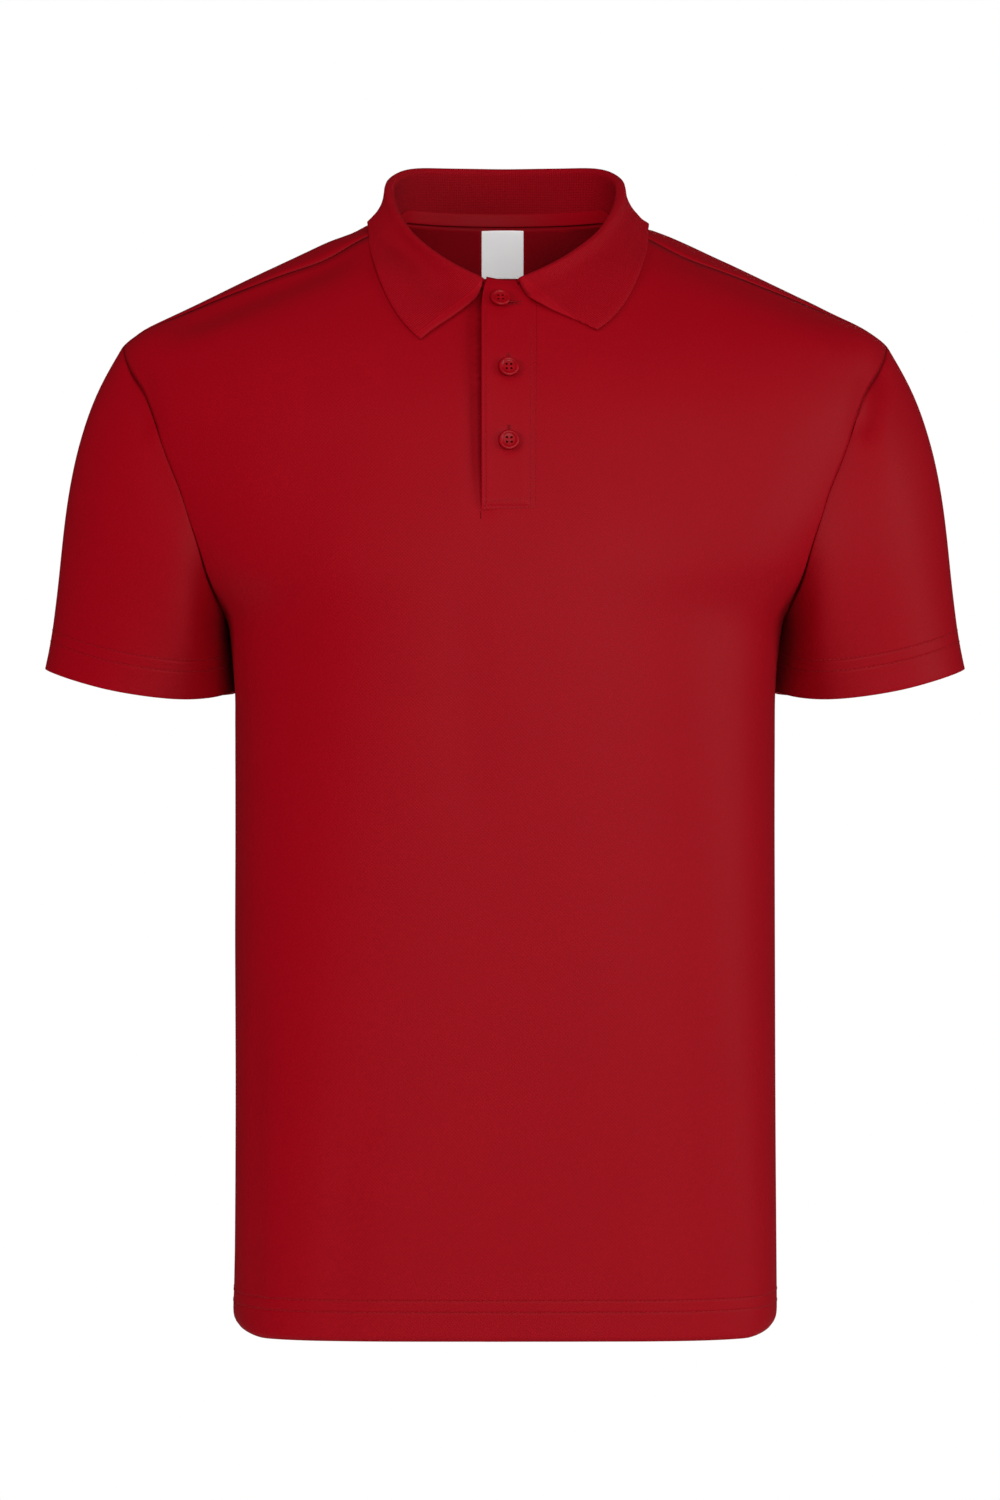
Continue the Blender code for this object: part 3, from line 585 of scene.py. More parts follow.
def read(data: bpy.types.bpy_prop_collection, name: str, width: int = 1) -> np.ndarray:
    """Reads one property of every element.

    Args:
        data: the elements.
        name: the property.
        width: how many numbers it has.

    Returns:
        The numbers, in rows where there are several for each element.
    """
    flat = np.empty(len(data) * width)
    data.foreach_get(name, flat)
    return flat.reshape(-1, width) if width > 1 else flat


def points_of(mesh: bpy.types.Mesh) -> np.ndarray:
    """The mesh's points in millimetres."""
    return read(mesh.vertices, "co", 3) / MM


def normals_of(mesh: bpy.types.Mesh) -> np.ndarray:
    """Which way the mesh faces at each of its points."""
    return read(mesh.vertices, "normal", 3)


def move_to(mesh: bpy.types.Mesh, points: np.ndarray) -> None:
    """Moves the mesh's points to these places in millimetres."""
    mesh.vertices.foreach_set("co", (points * MM).ravel())
    mesh.update()


def store(mesh: bpy.types.Mesh, name: str, values: np.ndarray) -> None:
    """Stores one number at each point of the mesh, for its material to read."""
    made = mesh.attributes.get(name) or mesh.attributes.new(name, "FLOAT", "POINT")
    made.data.foreach_set("value", np.asarray(values, np.float32))


def run_of(points: np.ndarray) -> np.ndarray:
    """How far along its line each of the points is."""
    steps = np.linalg.norm(np.diff(points, axis=0), axis=1)
    return np.concatenate([[0.0], np.cumsum(steps)])


def at_run(spot: float, run: np.ndarray, rows: np.ndarray) -> Vector:
    """The row this far along, between the rows that stand at the places in run."""
    return Vector([np.interp(spot, run, rows[:, axis]) for axis in range(3)])


def tree_of(points: Sequence) -> KDTree:
    """Makes a search tree.

    Args:
        points: the places in it.

    Returns:
        The tree.
    """
    tree = KDTree(len(points))
    for index, point in enumerate(points):
        tree.insert(point, index)
    tree.balance()
    return tree


def linked(name: str, data: bpy.types.ID) -> bpy.types.Object:
    """Puts a new object into the scene.

    Args:
        name: its name.
        data: its mesh, light or camera.

    Returns:
        The object.
    """
    made = bpy.data.objects.new(name, data)
    bpy.context.scene.collection.objects.link(made)
    return made


def new_object(name: str, bm: bmesh.types.BMesh, material: bpy.types.Material) -> bpy.types.Object:
    """Makes a smooth-shaded object of a bmesh, which it frees.

    Args:
        name: the piece's name.
        bm: its shape in metres, where it stands.
        material: its finish.

    Returns:
        The object, at the origin.
    """
    bmesh.ops.recalc_face_normals(bm, faces=bm.faces)
    mesh = bpy.data.meshes.new(name)
    bm.to_mesh(mesh)
    bm.free()
    mesh.shade_smooth()
    mesh.materials.append(material)
    return linked(name, mesh)


def carry(piece: bpy.types.Object) -> bpy.types.Object:
    """Puts a finished piece on the shirt's one body.

    Args:
        piece: the piece.

    Returns:
        The same piece.
    """
    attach(piece, "root")
    return piece


def realised(source: bpy.types.Object) -> bpy.types.Mesh:
    """Makes an object's modifiers real.

    Args:
        source: the object, which stays as it is.

    Returns:
        The mesh that they make of it.
    """
    bpy.context.view_layer.update()
    graph = bpy.context.evaluated_depsgraph_get()
    return bpy.data.meshes.new_from_object(source.evaluated_get(graph))


def fit_through(rough: bpy.types.Object) -> None:
    """Moves a rough mesh's points until its finer surface passes through where they stood.

    Away from the rims a point slides along the cloth by a share of its shortest edge at most, so
    that narrow rows stay in their order.

    Args:
        rough: the object, whose modifier divides it.
    """
    goal, ways = points_of(rough.data), normals_of(rough.data)
    slide = np.full(len(goal), FAR)
    rims = []
    for edge, crease in zip(rough.data.edges, rough.data.attributes["crease_edge"].data):
        ends = list(edge.vertices)
        length = np.linalg.norm(goal[ends[0]] - goal[ends[1]])
        slide[ends] = np.minimum(slide[ends], SLIDE * length)
        rims += ends if crease.value > 0 else []
    slide[rims] = FAR
    move = np.zeros_like(goal)
    for _ in range(3):
        finer = realised(rough)
        move += goal - points_of(finer)[: len(goal)]
        bpy.data.meshes.remove(finer)
        along = move - ways * (move * ways).sum(axis=1, keepdims=True)
        size = np.maximum(np.linalg.norm(along, axis=1), 1e-9)
        move -= along * np.maximum(0.0, 1 - slide / size)[:, None]
        move_to(rough.data, goal + move)


def merged_copy(node: bpy.types.Object) -> bmesh.types.BMesh:
    """Copies a CAD node's mesh.

    Args:
        node: the CAD node.

    Returns:
        The copy, with its points merged and its slivers closed up.
    """
    bm = bmesh.new()
    bm.from_mesh(node.data)
    bmesh.ops.remove_doubles(bm, verts=bm.verts, dist=MERGED * MM)
    bmesh.ops.dissolve_degenerate(bm, dist=CLOSED_UP * MM, edges=bm.edges)
    bmesh.ops.triangulate(bm, faces=bm.faces)
    return bm


def is_rim(edge: bmesh.types.BMEdge) -> bool:
    """Whether the cloth is cut at this edge."""
    return len(edge.link_faces) == 2 and edge.calc_face_angle() > RIM_ANGLE


def rim_points(node: bpy.types.Object, wanted: Callable[[Vector], bool]) -> list[Vector]:
    """Closely spaced points, in metres, along a solid's rims.

    Args:
        node: the CAD node.
        wanted: tells the rims that count, from a point on them.

    Returns:
        The points.
    """
    bm = merged_copy(node)
    found = []
    for edge in bm.edges:
        a, b = (vert.co.copy() for vert in edge.verts)
        if is_rim(edge) and wanted((a + b) / 2):
            count = max(2, int((b - a).length / (RIM_STEP * MM)))
            found += [a.lerp(b, k / count) for k in range(count)]
    bm.free()
    return found


def distances(mesh: bpy.types.Mesh, rims: list[Vector]) -> np.ndarray:
    """How far the mesh's points are from the rims.

    Args:
        mesh: the finer mesh.
        rims: points in metres along the rims, or none.

    Returns:
        Each point's distance from the nearest of them, in millimetres.
    """
    if not rims:
        return np.full(len(mesh.vertices), FAR)
    tree = tree_of(rims)
    return np.array([tree.find(vert.co)[2] / MM for vert in mesh.vertices])


# ---------------------------------------------------------------- sewing


@dataclass
class Surface:
    """The outer faces of finished sheets, to lay stitches on."""

    sheets: list[bpy.types.Object]

    def __post_init__(self) -> None:
        """Makes the search trees."""
        graph = bpy.context.evaluated_depsgraph_get()
        bpy.context.view_layer.update()
        self.trees = [BVHTree.FromObject(sheet, graph) for sheet in self.sheets]

    def hit(self, start: Sequence[float], way: Sequence[float]) -> Optional[tuple[Vector, Vector]]:
        """Where a line first meets the cloth.

        Args:
            start: a point in millimetres.
            way: the direction to look in.

        Returns:
            The point in metres and the cloth's direction there, or None.
        """
        origin, way = Vector(start) * MM, Vector(way).normalized()
        found = [tree.ray_cast(origin, way) for tree in self.trees]
        hits = [(far, place, normal) for place, normal, _, far in found if place is not None]
        if not hits:
            return None
        _, place, normal = min(hits, key=lambda hit: hit[0])
        return place, normal if normal.dot(way) < 0 else -normal

    def line(self, looks: Iterable[tuple[Sequence[float], Sequence[float]]]) -> Line:
        """The line on the cloth that these looks find, each a start and a way as hit takes them."""
        return [found for found in (self.hit(start, way) for start, way in looks) if found]

    def straight(self, a: Spot, b: Spot) -> Line:
        """A straight line on the front.

        Args:
            a: one end, sideways and up.
            b: the other end.

        Returns:
            The line on the cloth.
        """
        shares = np.linspace(0, 1, LINE_STEPS)
        spots = [(a[0] + (b[0] - a[0]) * t, a[1] + (b[1] - a[1]) * t) for t in shares]
        return self.line(((x, IN_FRONT, z), (0.0, 1.0, 0.0)) for x, z in spots)


@dataclass(frozen=True)
class Needle:
    """One row of stitches: a stitch's length, the gap to the next, and the thread's width and rise.

    Each stitch lies `sunk` into the cloth and is turned by the line `look` before and after it.
    """

    length: float = 2.3
    gap: float = 0.75
    width: float = 0.62
    rise: float = 0.42
    sunk: float = 0.12
    look: float = 0.6
    batch: int = 16

    def sew(self, bm: bmesh.types.BMesh, line: Line, crosswise: bool = False) -> int:
        """Adds stitches along a line on the cloth.

        Args:
            bm: where they go.
            line: points in metres and the cloth's direction at each.
            crosswise: whether each stitch lies across the line, as round a buttonhole.

        Returns:
            How many stitches were made.
        """
        places = np.array([place for place, _ in line])
        ways = np.array([way for _, way in line])
        run = run_of(places) / MM
        pitch = self.gap if crosswise else self.length + self.gap
        count = max(1, int(run[-1] / pitch))
        few = bmesh.new()
        for k in range(count):
            at = (k + 0.5) * run[-1] / count
            near = np.clip([at - self.look, at, at + self.look], 0, run[-1])
            before, here, after = (at_run(spot, run, places) for spot in near)
            up = at_run(at, run, ways).normalized()
            ahead = (after - before).normalized()
            aside = up.cross(ahead).normalized()
            if crosswise:
                ahead, aside = aside, -ahead
            turn = Matrix((ahead, aside, up.normalized())).transposed().to_4x4()
            halves = [size / 2 * MM for size in (self.length, self.width, self.rise)]
            centre = Matrix.Translation(here + up * (self.rise / 2 - self.sunk) * MM)
            shape = centre @ turn @ Matrix.Diagonal((*halves, 1.0))
            bmesh.ops.create_uvsphere(few, u_segments=6, v_segments=4, radius=1.0, matrix=shape)
            if k % self.batch == self.batch - 1 or k == count - 1:
                made = bpy.data.meshes.new("stitches")
                few.to_mesh(made)
                few.clear()
                bm.from_mesh(made)
                bpy.data.meshes.remove(made)
        few.free()
        return count

    def stitching(
        self, name: str, lines: Iterable[Line], thread: bpy.types.Material
    ) -> bpy.types.Object:
        """Sews lines into one piece.

        Args:
            name: the piece's name.
            lines: the lines on the cloth.
            thread: its finish.

        Returns:
            The piece.
        """
        bm = bmesh.new()
        count = sum(self.sew(bm, line) for line in lines)
        log.info("%s: %d stitches", name, count)
        return carry(new_object(name, bm, thread))


# ---------------------------------------------------------------- the shirt's sub-assemblies


class Finishes:
    """Every material of the shirt."""

    def __init__(self) -> None:
        """Makes the materials."""
        self.knit = Knit().material()
        self.band = Knit("placket_knit", rows=(2.6,), row_depth=0.18).material()
        self.plain = Knit("tape_knit", rows=(), pitch=0.8).material()
        self.rib = Rib().material()
        self.thread = Thread().material()
        # dark strips and pegs of painted shadow, in slits, holes and the pinch
        self.slit_shadow = DarkSlit().material()
        self.resin = Resin().material()
        self.label = WovenLabel().material()


@dataclass
class Sheet:
    """One cut piece of cloth that stands for its CAD node.

    `flat` and `area` are its cut in metres. `thin` is how far its outer wall comes down to the
    inner one at its rims, over `thin_reach`. The outer wall looks away from the middle, which is
    `inside` drawn out by `spread` along each axis. Its direction is read more than `rim_clear` from
    the rims and, under `upright_below`, where it is upright. The finish shows the rims that `seam`
    and `edge` tell.
    """

    node: str
    finish: bpy.types.Material
    flat: Spot
    area: float
    rests_on: tuple[str, ...]
    slot: Slot = Slot.JERSEY
    held: str = "hung"
    levels: int = 2
    edge_round: float = 0.45
    sliver: float = 0.14
    thin: float = 0.0
    thin_reach: float = 5.0
    rim_clear: float = 1.6
    upright_below: float = -340.0
    inside: tuple[float, float, float] = (0.0, -5.0, -150.0)
    spread: tuple[float, float, float] = (0.6, 0.1, 0.9)
    hollows: tuple[Hollow, ...] = ()
    seam: Optional[Callable[[Vector], bool]] = None
    edge: Optional[Callable[[Vector], bool]] = None
    piece: Optional[bpy.types.Object] = None

    def build(self, frame: dict) -> bpy.types.Object:
        """Makes the piece.


        Returns:
            The finished piece.
        """
        node = frame["nodes"][self.node]
        self.piece = self.fine_copy(node)
        mesh = self.piece.data
        mesh.materials.append(self.finish)
        for name, wanted in (("seam_mm", self.seam), ("edge_mm", self.edge)):
            store(mesh, name, distances(mesh, rim_points(node, wanted) if wanted else []))
        away = distances(mesh, rim_points(node, lambda point: True))
        if self.thin or self.hollows:
            self.shape(away)
        carry(self.piece)
        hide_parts(self.node)
        return self.piece

    def fine_copy(self, node: bpy.types.Object) -> bpy.types.Object:
        """A finer, smoother copy of a cloth solid, with its rims kept and slightly rounded.

        Args:
            node: the CAD node.

        Returns:
            The new piece.
        """
        name = self.node + "_cloth"
        bm = merged_copy(node)
        bmesh.ops.join_triangles(
            bm, faces=bm.faces, angle_face_threshold=JOIN_ANGLE, angle_shape_threshold=math.pi
        )
        crease = bm.edges.layers.float.new("crease_edge")
        weight = bm.edges.layers.float.new("bevel_weight_edge")
        for edge in bm.edges:
            if is_rim(edge):
                edge[crease] = edge[weight] = 1.0
        mesh = bpy.data.meshes.new(name)
        bm.to_mesh(mesh)
        bm.free()
        rough = linked(name + ".rough", mesh)
        divide = rough.modifiers.new("finer", "SUBSURF")
        divide.levels = divide.render_levels = self.levels
        fit_through(rough)
        soften = rough.modifiers.new("soft_edge", "BEVEL")
        soften.width = self.edge_round * MM
        soften.segments = 2
        soften.limit_method = "WEIGHT"
        mesh = realised(rough)
        bpy.data.objects.remove(rough)
        bm = bmesh.new()
        bm.from_mesh(mesh)
        bmesh.ops.dissolve_degenerate(bm, dist=self.sliver * MM, edges=bm.edges)
        bm.to_mesh(mesh)
        bm.free()
        mesh.name = name
        mesh.materials.clear()
        mesh.shade_smooth()
        return linked(name, mesh)

    def outer_ways(self, points: np.ndarray, normals: np.ndarray, rim: np.ndarray) -> np.ndarray:
        """Which way the outer face looks, at every point of both walls.

        Args:
            points: the piece's points in millimetres.
            normals: their normals.
            rim: how far each is from the rims, in millimetres.

        Returns:
            One direction for each point.
        """
        middle = np.array(self.inside)
        core = middle + (points - middle) * np.array(self.spread)
        away = points - core
        away /= np.linalg.norm(away, axis=1, keepdims=True)
        good = (np.abs(normals[:, 2]) < UPRIGHT) | (points[:, 2] > self.upright_below)
        good &= ((normals * away).sum(axis=1) > OUTWARDS) & (rim > self.rim_clear)
        outer = np.flatnonzero(good)
        tree = tree_of([points[k] for k in outer])
        return normals[outer[[tree.find(point)[1] for point in points]]]

    def shape(self, away: np.ndarray) -> None:
        """Presses the hollows into both walls alike, and the outer wall in near the rims.

        Args:
            away: how far each point is from the rims, in millimetres.
        """
        mesh = self.piece.data
        points, normals = points_of(mesh), normals_of(mesh)
        ways = self.outer_ways(points, normals, away)
        # 1 on the outer wall and 0 on the inner one
        outer = np.clip(0.5 + 0.7 * (normals * ways).sum(axis=1), 0, 1)
        sink = self.thin * outer * np.clip(1 - away / self.thin_reach, 0, 1) ** 1.4
        sink += sum(hollow.sink(points, ways) for hollow in self.hollows)
        move_to(mesh, points - ways * sink[:, None])

    def declare(self, with_pieces: Sequence[bpy.types.Object] = ()) -> None:
        """Does nothing: the cloth's cut is not stated.

        Args:
            with_pieces: what is sewn on it. Not used.
        """


@dataclass
class Assembly:
    frame: dict
    finishes: Finishes


@dataclass
class Body(Assembly):
    """The front and back panels, with the hem's two rows of stitching."""

    hem_z: float = -725.0
    side_seam_top: float = -262.0
    corner_height: float = 15.0
    corner_x: float = 154.0
    corner_width: float = 23.0
    corner_in: float = 2.6
    corner_up: float = 5.5
    hem_steps: int = 720
    hem_wide: float = 1.5
    look_from: float = 330.0
    shoulder: tuple[Hollow, ...] = hollows(
        Side.TOP,
        (-238.0, -77.0, -84.0, -11.0, 6.4, 13.5, 8.0),
        (238.0, -72.0, 84.0, -6.0, 2.8, 15.0, 6.5),
    )
    chest: tuple[Hollow, ...] = hollows(
        Side.FRONT,
        (-226.0, -150.0, -240.0, -92.0, 1.6, 7.0),
        (-150.0, -330.0, -120.0, -120.0, 0.8, 26.0),
    )
    front_only: tuple[Hollow, ...] = hollows(
        Side.FRONT,
        (-164.0, -745.0, -160.0, -480.0, 1.9, 8.0),
        (-15.5, -10.0, -14.0, -205.0, 4.2, 6.5),
        (-84.0, -8.0, -28.0, -66.0, 3.0, 13.0),
        (-108.0, -740.0, -96.0, -560.0, 0.9, 16.0),
        (60.0, -740.0, 72.0, -590.0, 0.8, 18.0),
        (146.0, -735.0, 138.0, -540.0, 1.0, 12.0),
        (-20.0, -420.0, -30.0, -215.0, 0.8, 20.0),
    )
    back_only: tuple[Hollow, ...] = hollows(
        Side.BACK,
        (-205.0, -100.0, -120.0, -52.0, 2.0, 14.0),
        (205.0, -98.0, 118.0, -52.0, 1.8, 14.0),
        (-120.0, -735.0, -104.0, -430.0, 2.2, 17.0),
        (128.0, -735.0, 110.0, -470.0, 2.0, 15.0),
        (12.0, -740.0, -6.0, -520.0, 1.2, 24.0),
        (-150.0, -330.0, -60.0, -380.0, 1.4, 15.0),
        (150.0, -320.0, 70.0, -372.0, 1.2, 14.0),
        (0.0, -210.0, 4.0, -70.0, 1.0, 22.0),
    )

    def is_hem(self, point: Vector) -> bool:
        """Whether a point on a rim is at the hem's edge."""
        return point.z < (self.hem_z + 1.0) * MM

    def is_seam(self, point: Vector) -> bool:
        """Whether a point on a rim is on a side seam, or on one above CAP_Z."""
        side = (self.hem_z + 4.0) * MM < point.z < self.side_seam_top * MM
        return side or point.z > CAP_Z * MM

    def build(self) -> list[bpy.types.Object]:
        """Makes both panels and their stitching.

        Returns:
            The pieces.
        """
        front_hollows = self.shoulder + self.chest + mirrored(self.chest, 0.8) + self.front_only
        front, back = (
            Sheet(
                node, self.finishes.knit, flat, area, (rests_on,),
                hollows=pressed, seam=self.is_seam, edge=self.is_hem, sliver=0.22,
            )
            for node, flat, area, rests_on, pressed in (
                ("front", (0.525, 0.77), 0.355, "back", front_hollows),
                ("back", (0.525, 0.79), 0.372, "front", self.shoulder + self.back_only),
            )
        )
        panels = [front.build(self.frame), back.build(self.frame)]
        for panel in panels:
            self.round_corners(panel.data)
        surface = Surface(panels)
        lines = (self.hem_line(surface, row) for row in HEM_ROWS)
        stitches = Needle().stitching("hem_stitching", lines, self.finishes.thread)
        front.declare([stitches])
        back.declare()
        return [*panels, stitches]

    def round_corners(self, mesh: bpy.types.Mesh) -> None:
        """Draws the hem's edge up and in beside the side seams.

        Args:
            mesh: a panel's mesh.
        """
        points = points_of(mesh)
        low = (self.hem_z + self.corner_height - points[:, 2]) / self.corner_height
        side = (np.abs(points[:, 0]) - self.corner_x) / self.corner_width
        share = np.clip(low, 0, 1.3) ** 2.2 * np.clip(side, 0, 1) ** 1.6
        points[:, 0] -= np.sign(points[:, 0]) * share * self.corner_in
        points[:, 2] += share * self.corner_up
        move_to(mesh, points)

    def hem_line(self, surface: Surface, row: float) -> Line:
        """One row round the hem.

        Args:
            surface: both panels.
            row: how far it is up from the edge, in millimetres.

        Returns:
            The line on the cloth.
        """
        turns = np.linspace(0, 2 * math.pi, self.hem_steps)
        outs = [(math.sin(turn) * self.hem_wide, -math.cos(turn)) for turn in turns]
        far, level = self.look_from, self.hem_z + row
        return surface.line(((x * far, y * far, level), (-x, -y, 0.0)) for x, y in outs)


@dataclass
class Sleeves(Assembly):
    """Both sleeves, with the cuffs' two rows of stitching.

    The cuff's edge is a squarish ring that slants up outwards and dips at the front and back, and
    the cloth over it leans in by `lean` at its middle and `lean_out` more at its outer side. Inside
    `touch_x`, under `touch_z` and near `touch_y`, the sleeve is laid against the body.
    """

    cuff_x: float = 243.6
    cuff_top: float = -285.0
    half_width: float = 62.0
    depth_front: float = 53.0
    depth_back: float = 52.0
    squareness: float = 0.93
    level: float = -300.75
    slant: float = 7.75
    dip_front: float = 10.0
    dip_back: float = 6.0
    dip_lean: float = 0.35
    dip_curve: float = 1.5
    lean: float = 0.095
    lean_out: float = 0.155
    ring_steps: int = 241
    look_from: float = 40.0
    touch: float = 3.4
    touch_x: float = 210.0
    touch_y: float = 18.0
    touch_z: float = -236.0
    touch_reach: tuple[float, float, float] = (24.0, 15.0, 26.0)
    left: tuple[Hollow, ...] = hollows(
        Side.FRONT,
        (247.0, -88.0, 232.0, -148.0, 5.0, 6.2),
        (238.0, -110.0, 192.0, -275.0, 1.2, 20.0),
        (203.0, -215.0, 189.0, -330.0, 1.2, 18.0),
    ) + hollows(
        Side.BACK,
        (240.0, -112.0, 226.0, -210.0, 2.4, 8.0),
        (214.0, -220.0, 230.0, -300.0, 2.0, 9.0),
        (266.0, -150.0, 258.0, -260.0, 1.0, 12.0),
    )

    def ring(self, mirror: float) -> list[tuple[np.ndarray, np.ndarray, np.ndarray]]:
        """The cuff's edge on one side of the shirt.

        Args:
            mirror: 1 for the wearer's left sleeve, -1 for the right.

        Returns:
            For each of its points: the point, the way out of the sleeve, and the way up it.
        """
        found = []
        flip = np.array((mirror, 1.0, 1.0))
        for turn in np.linspace(0, 2 * math.pi, self.ring_steps):
            side, fore = math.cos(turn), math.sin(turn)
            depth, dip = self.depth_back, self.dip_back
            if fore > 0:
                depth, dip = self.depth_front, self.dip_front
            x = self.cuff_x + self.half_width * math.copysign(abs(side) ** self.squareness, side)
            y = -depth * math.copysign(abs(fore) ** self.squareness, fore)
            z = self.level + self.slant * side
            z -= dip * abs(fore) ** self.dip_curve * (1 - self.dip_lean * side)
            out = np.array((x - self.cuff_x, y, 0.0))
            up = np.array((-self.lean - self.lean_out * side, 0.0, 1.0))
            found.append((np.array((x, y, z)) * flip, out / np.linalg.norm(out) * flip, up * flip))
        return found

    def build(self) -> list[bpy.types.Object]:
        """Makes both sleeves and their stitching.

        Returns:
            The pieces.
        """
        made = []
        for name, mirror, pressed in (
            ("sleeve_left", 1.0, self.left),
            ("sleeve_right", -1.0, mirrored(self.left, 0.75)),
        ):
            sleeve = Sheet(
                name, self.finishes.knit, (0.42, 0.25), 0.058, ("front", "back"),
                inside=(mirror * 235.0, 0.0, -215.0), spread=(0.15, 0.0, 0.9), hollows=pressed,
                seam=lambda point: point.z > CAP_Z * MM,
                edge=lambda point: point.z < self.cuff_top * MM,
            )
            piece = sleeve.build(self.frame)
            self.lay_on_body(piece.data, mirror)
            surface, ring, far = Surface([piece]), self.ring(mirror), self.look_from
            lines = [
                surface.line((point + up * row + out * far, -out) for point, out, up in ring)
                for row in HEM_ROWS
            ]
            stitches = Needle().stitching(name + "_stitching", lines, self.finishes.thread)
            sleeve.declare([stitches])
            made += [piece, stitches]
        return made

    def lay_on_body(self, mesh: bpy.types.Mesh, mirror: float) -> None:
        """Lays the sleeve's inner side against the body.

        Args:
            mesh: the sleeve's mesh.
            mirror: 1 for the wearer's left sleeve, -1 for the right.
        """
        points = points_of(mesh)
        reach = self.touch_reach
        inner = np.clip((self.touch_x - points[:, 0] * mirror) / reach[0], 0, 1) ** 1.3
        low = np.clip((self.touch_z - points[:, 2]) / reach[2], 0, 1)
        shift = np.exp(-(((points[:, 1] - self.touch_y) / reach[1]) ** 2))
        shift = self.touch * shift * inner * low
        points[:, 0] -= shift * mirror
        move_to(mesh, points)


@dataclass
class Collar(Assembly):
    """The flat-knit collar, whose ribs run from the neck seam over the fold to the leaf's edge.

    Each station is one rib on the wearer's left, from the front end to the middle of the back: its
    place on the fold and its place on the leaf's edge. The leaf's look begins `leaf_from` past the
    fold. Its edge turns down outside `side_x` and above `side_z`, each with its reach.
    """

    stations: tuple[tuple[float, ...], ...] = (
        (11.0, -73.6, -41.0, 57.0, -92.0, -79.3),
        (22.0, -70.2, -36.0, 66.5, -86.0, -71.0),
        (36.0, -63.8, -28.0, 75.0, -77.0, -60.0),
        (49.0, -53.6, -18.0, 82.5, -65.0, -45.0),
        (60.0, -42.0, -7.2, 88.0, -51.0, -29.5),
        (68.2, -28.5, 5.6, 92.0, -35.0, -15.0),
        (73.0, -14.5, 17.5, 92.0, -17.0, -4.5),
        (74.4, 0.0, 28.5, 91.5, 2.0, 1.0),
        (71.2, 18.0, 37.0, 88.5, 27.0, 2.0),
        (60.5, 36.5, 43.6, 75.0, 48.0, 1.5),
        (36.5, 49.5, 45.4, 45.0, 64.0, 1.0),
        (0.0, 55.5, 45.6, 0.0, 71.0, 1.0),
    )
    fine_ribs: int = 260
    block: int = 2000
    seam_drop: float = 38.0
    leaf_from: float = 2.0
    leaf_reach: float = 6.0
    edge_drop: float = 2.0
    edge_reach: float = 10.0
    side_x: Spot = (76.0, 10.0)
    side_z: Spot = (-32.0, 16.0)
    leaf_hollows: tuple[Hollow, ...] = hollows(
        Side.FRONT,
        (-84.0, -4.0, -30.0, -62.0, 4.2, 8.5),
        (-62.0, -62.0, -40.0, -76.0, -0.5, 6.0),
        (70.0, -20.0, 34.0, -58.0, 0.7, 8.0),
    )

    def ribs(self) -> tuple[np.ndarray, np.ndarray, np.ndarray]:
        """The wearer's left half of the collar as closely spaced ribs.

        Returns:
            How far along the collar each rib is, and its fold and leaf ends, in millimetres.
        """
        table = np.array(self.stations)
        run = run_of(table[:, :3])
        fine = np.linspace(0, run[-1], self.fine_ribs)
        ends = np.stack([np.interp(fine, run, column) for column in table.T], axis=-1)
        return fine, ends[:, :3], ends[:, 3:]

    def mark_ribs(self, mesh: bpy.types.Mesh) -> None:
        """Stores how far along and across the collar each point is.

        Args:
            mesh: the collar's mesh.
        """
        half = points_of(mesh)
        half[:, 0] = np.abs(half[:, 0])
        fine, fold, leaf = self.ribs()
        along, across = np.empty(len(half)), np.empty(len(half))
        down = np.broadcast_to(np.array((0.0, 0.0, -self.seam_drop)), fold.shape)
        for low in range(0, len(half), self.block):
            here = slice(low, low + self.block)
            part = half[here, None, :]
            best = np.full(part.shape[0], np.inf)
            for run, sign in ((leaf - fold, 1.0), (down, -1.0)):
                length = np.linalg.norm(run, axis=1)
                share = np.clip(((part - fold) * run).sum(axis=2) / length**2, 0, 1)
                gap = np.linalg.norm(part - fold - run * share[..., None], axis=2)
                nearest = gap.argmin(axis=1)
                rows = np.arange(len(nearest))
                closer = gap[rows, nearest] < best
                best[closer] = gap[rows, nearest][closer]
                along[here][closer] = self.between(gap, fine, nearest)[closer]
                far = sign * share[rows, nearest] * length[nearest]
                across[here][closer] = far[closer]
        store(mesh, "rib_mm", along)
        store(mesh, "across_mm", across)

    @staticmethod
    def between(gap: np.ndarray, fine: np.ndarray, nearest: np.ndarray) -> np.ndarray:
        """Places between the two nearest ribs, so that the ribs' pattern runs smoothly.

        Args:
            gap: the distance from each point to each rib.
            fine: how far along the collar each rib is.
            nearest: the nearest rib of each point.

        Returns:
            How far along the collar each point is.
        """
        rows = np.arange(len(nearest))
        inner = np.clip(nearest, 1, len(fine) - 2)
        a, b, c = (gap[rows, inner + step] ** 2 for step in (-1, 0, 1))
        bend = np.maximum(a - 2 * b + c, 1e-9)
        return fine[inner] + np.clip((a - c) / (2 * bend), -1, 1) * (fine[1] - fine[0])

    def build(self) -> list[bpy.types.Object]:
        """Makes the collar.

        Returns:
            The piece.
        """
        sheet = Sheet(
            "collar", self.finishes.rib, (0.43, 0.078), 0.0314, ("front", "back"), Slot.RIB,
            held="folded", edge_round=0.5, thin=0.6, thin_reach=2.6,
        )
        piece = sheet.build(self.frame)
        self.mark_ribs(piece.data)
        self.mark_edge(piece.data)
        self.press_leaves(piece.data)
        sheet.declare()
        return [piece]

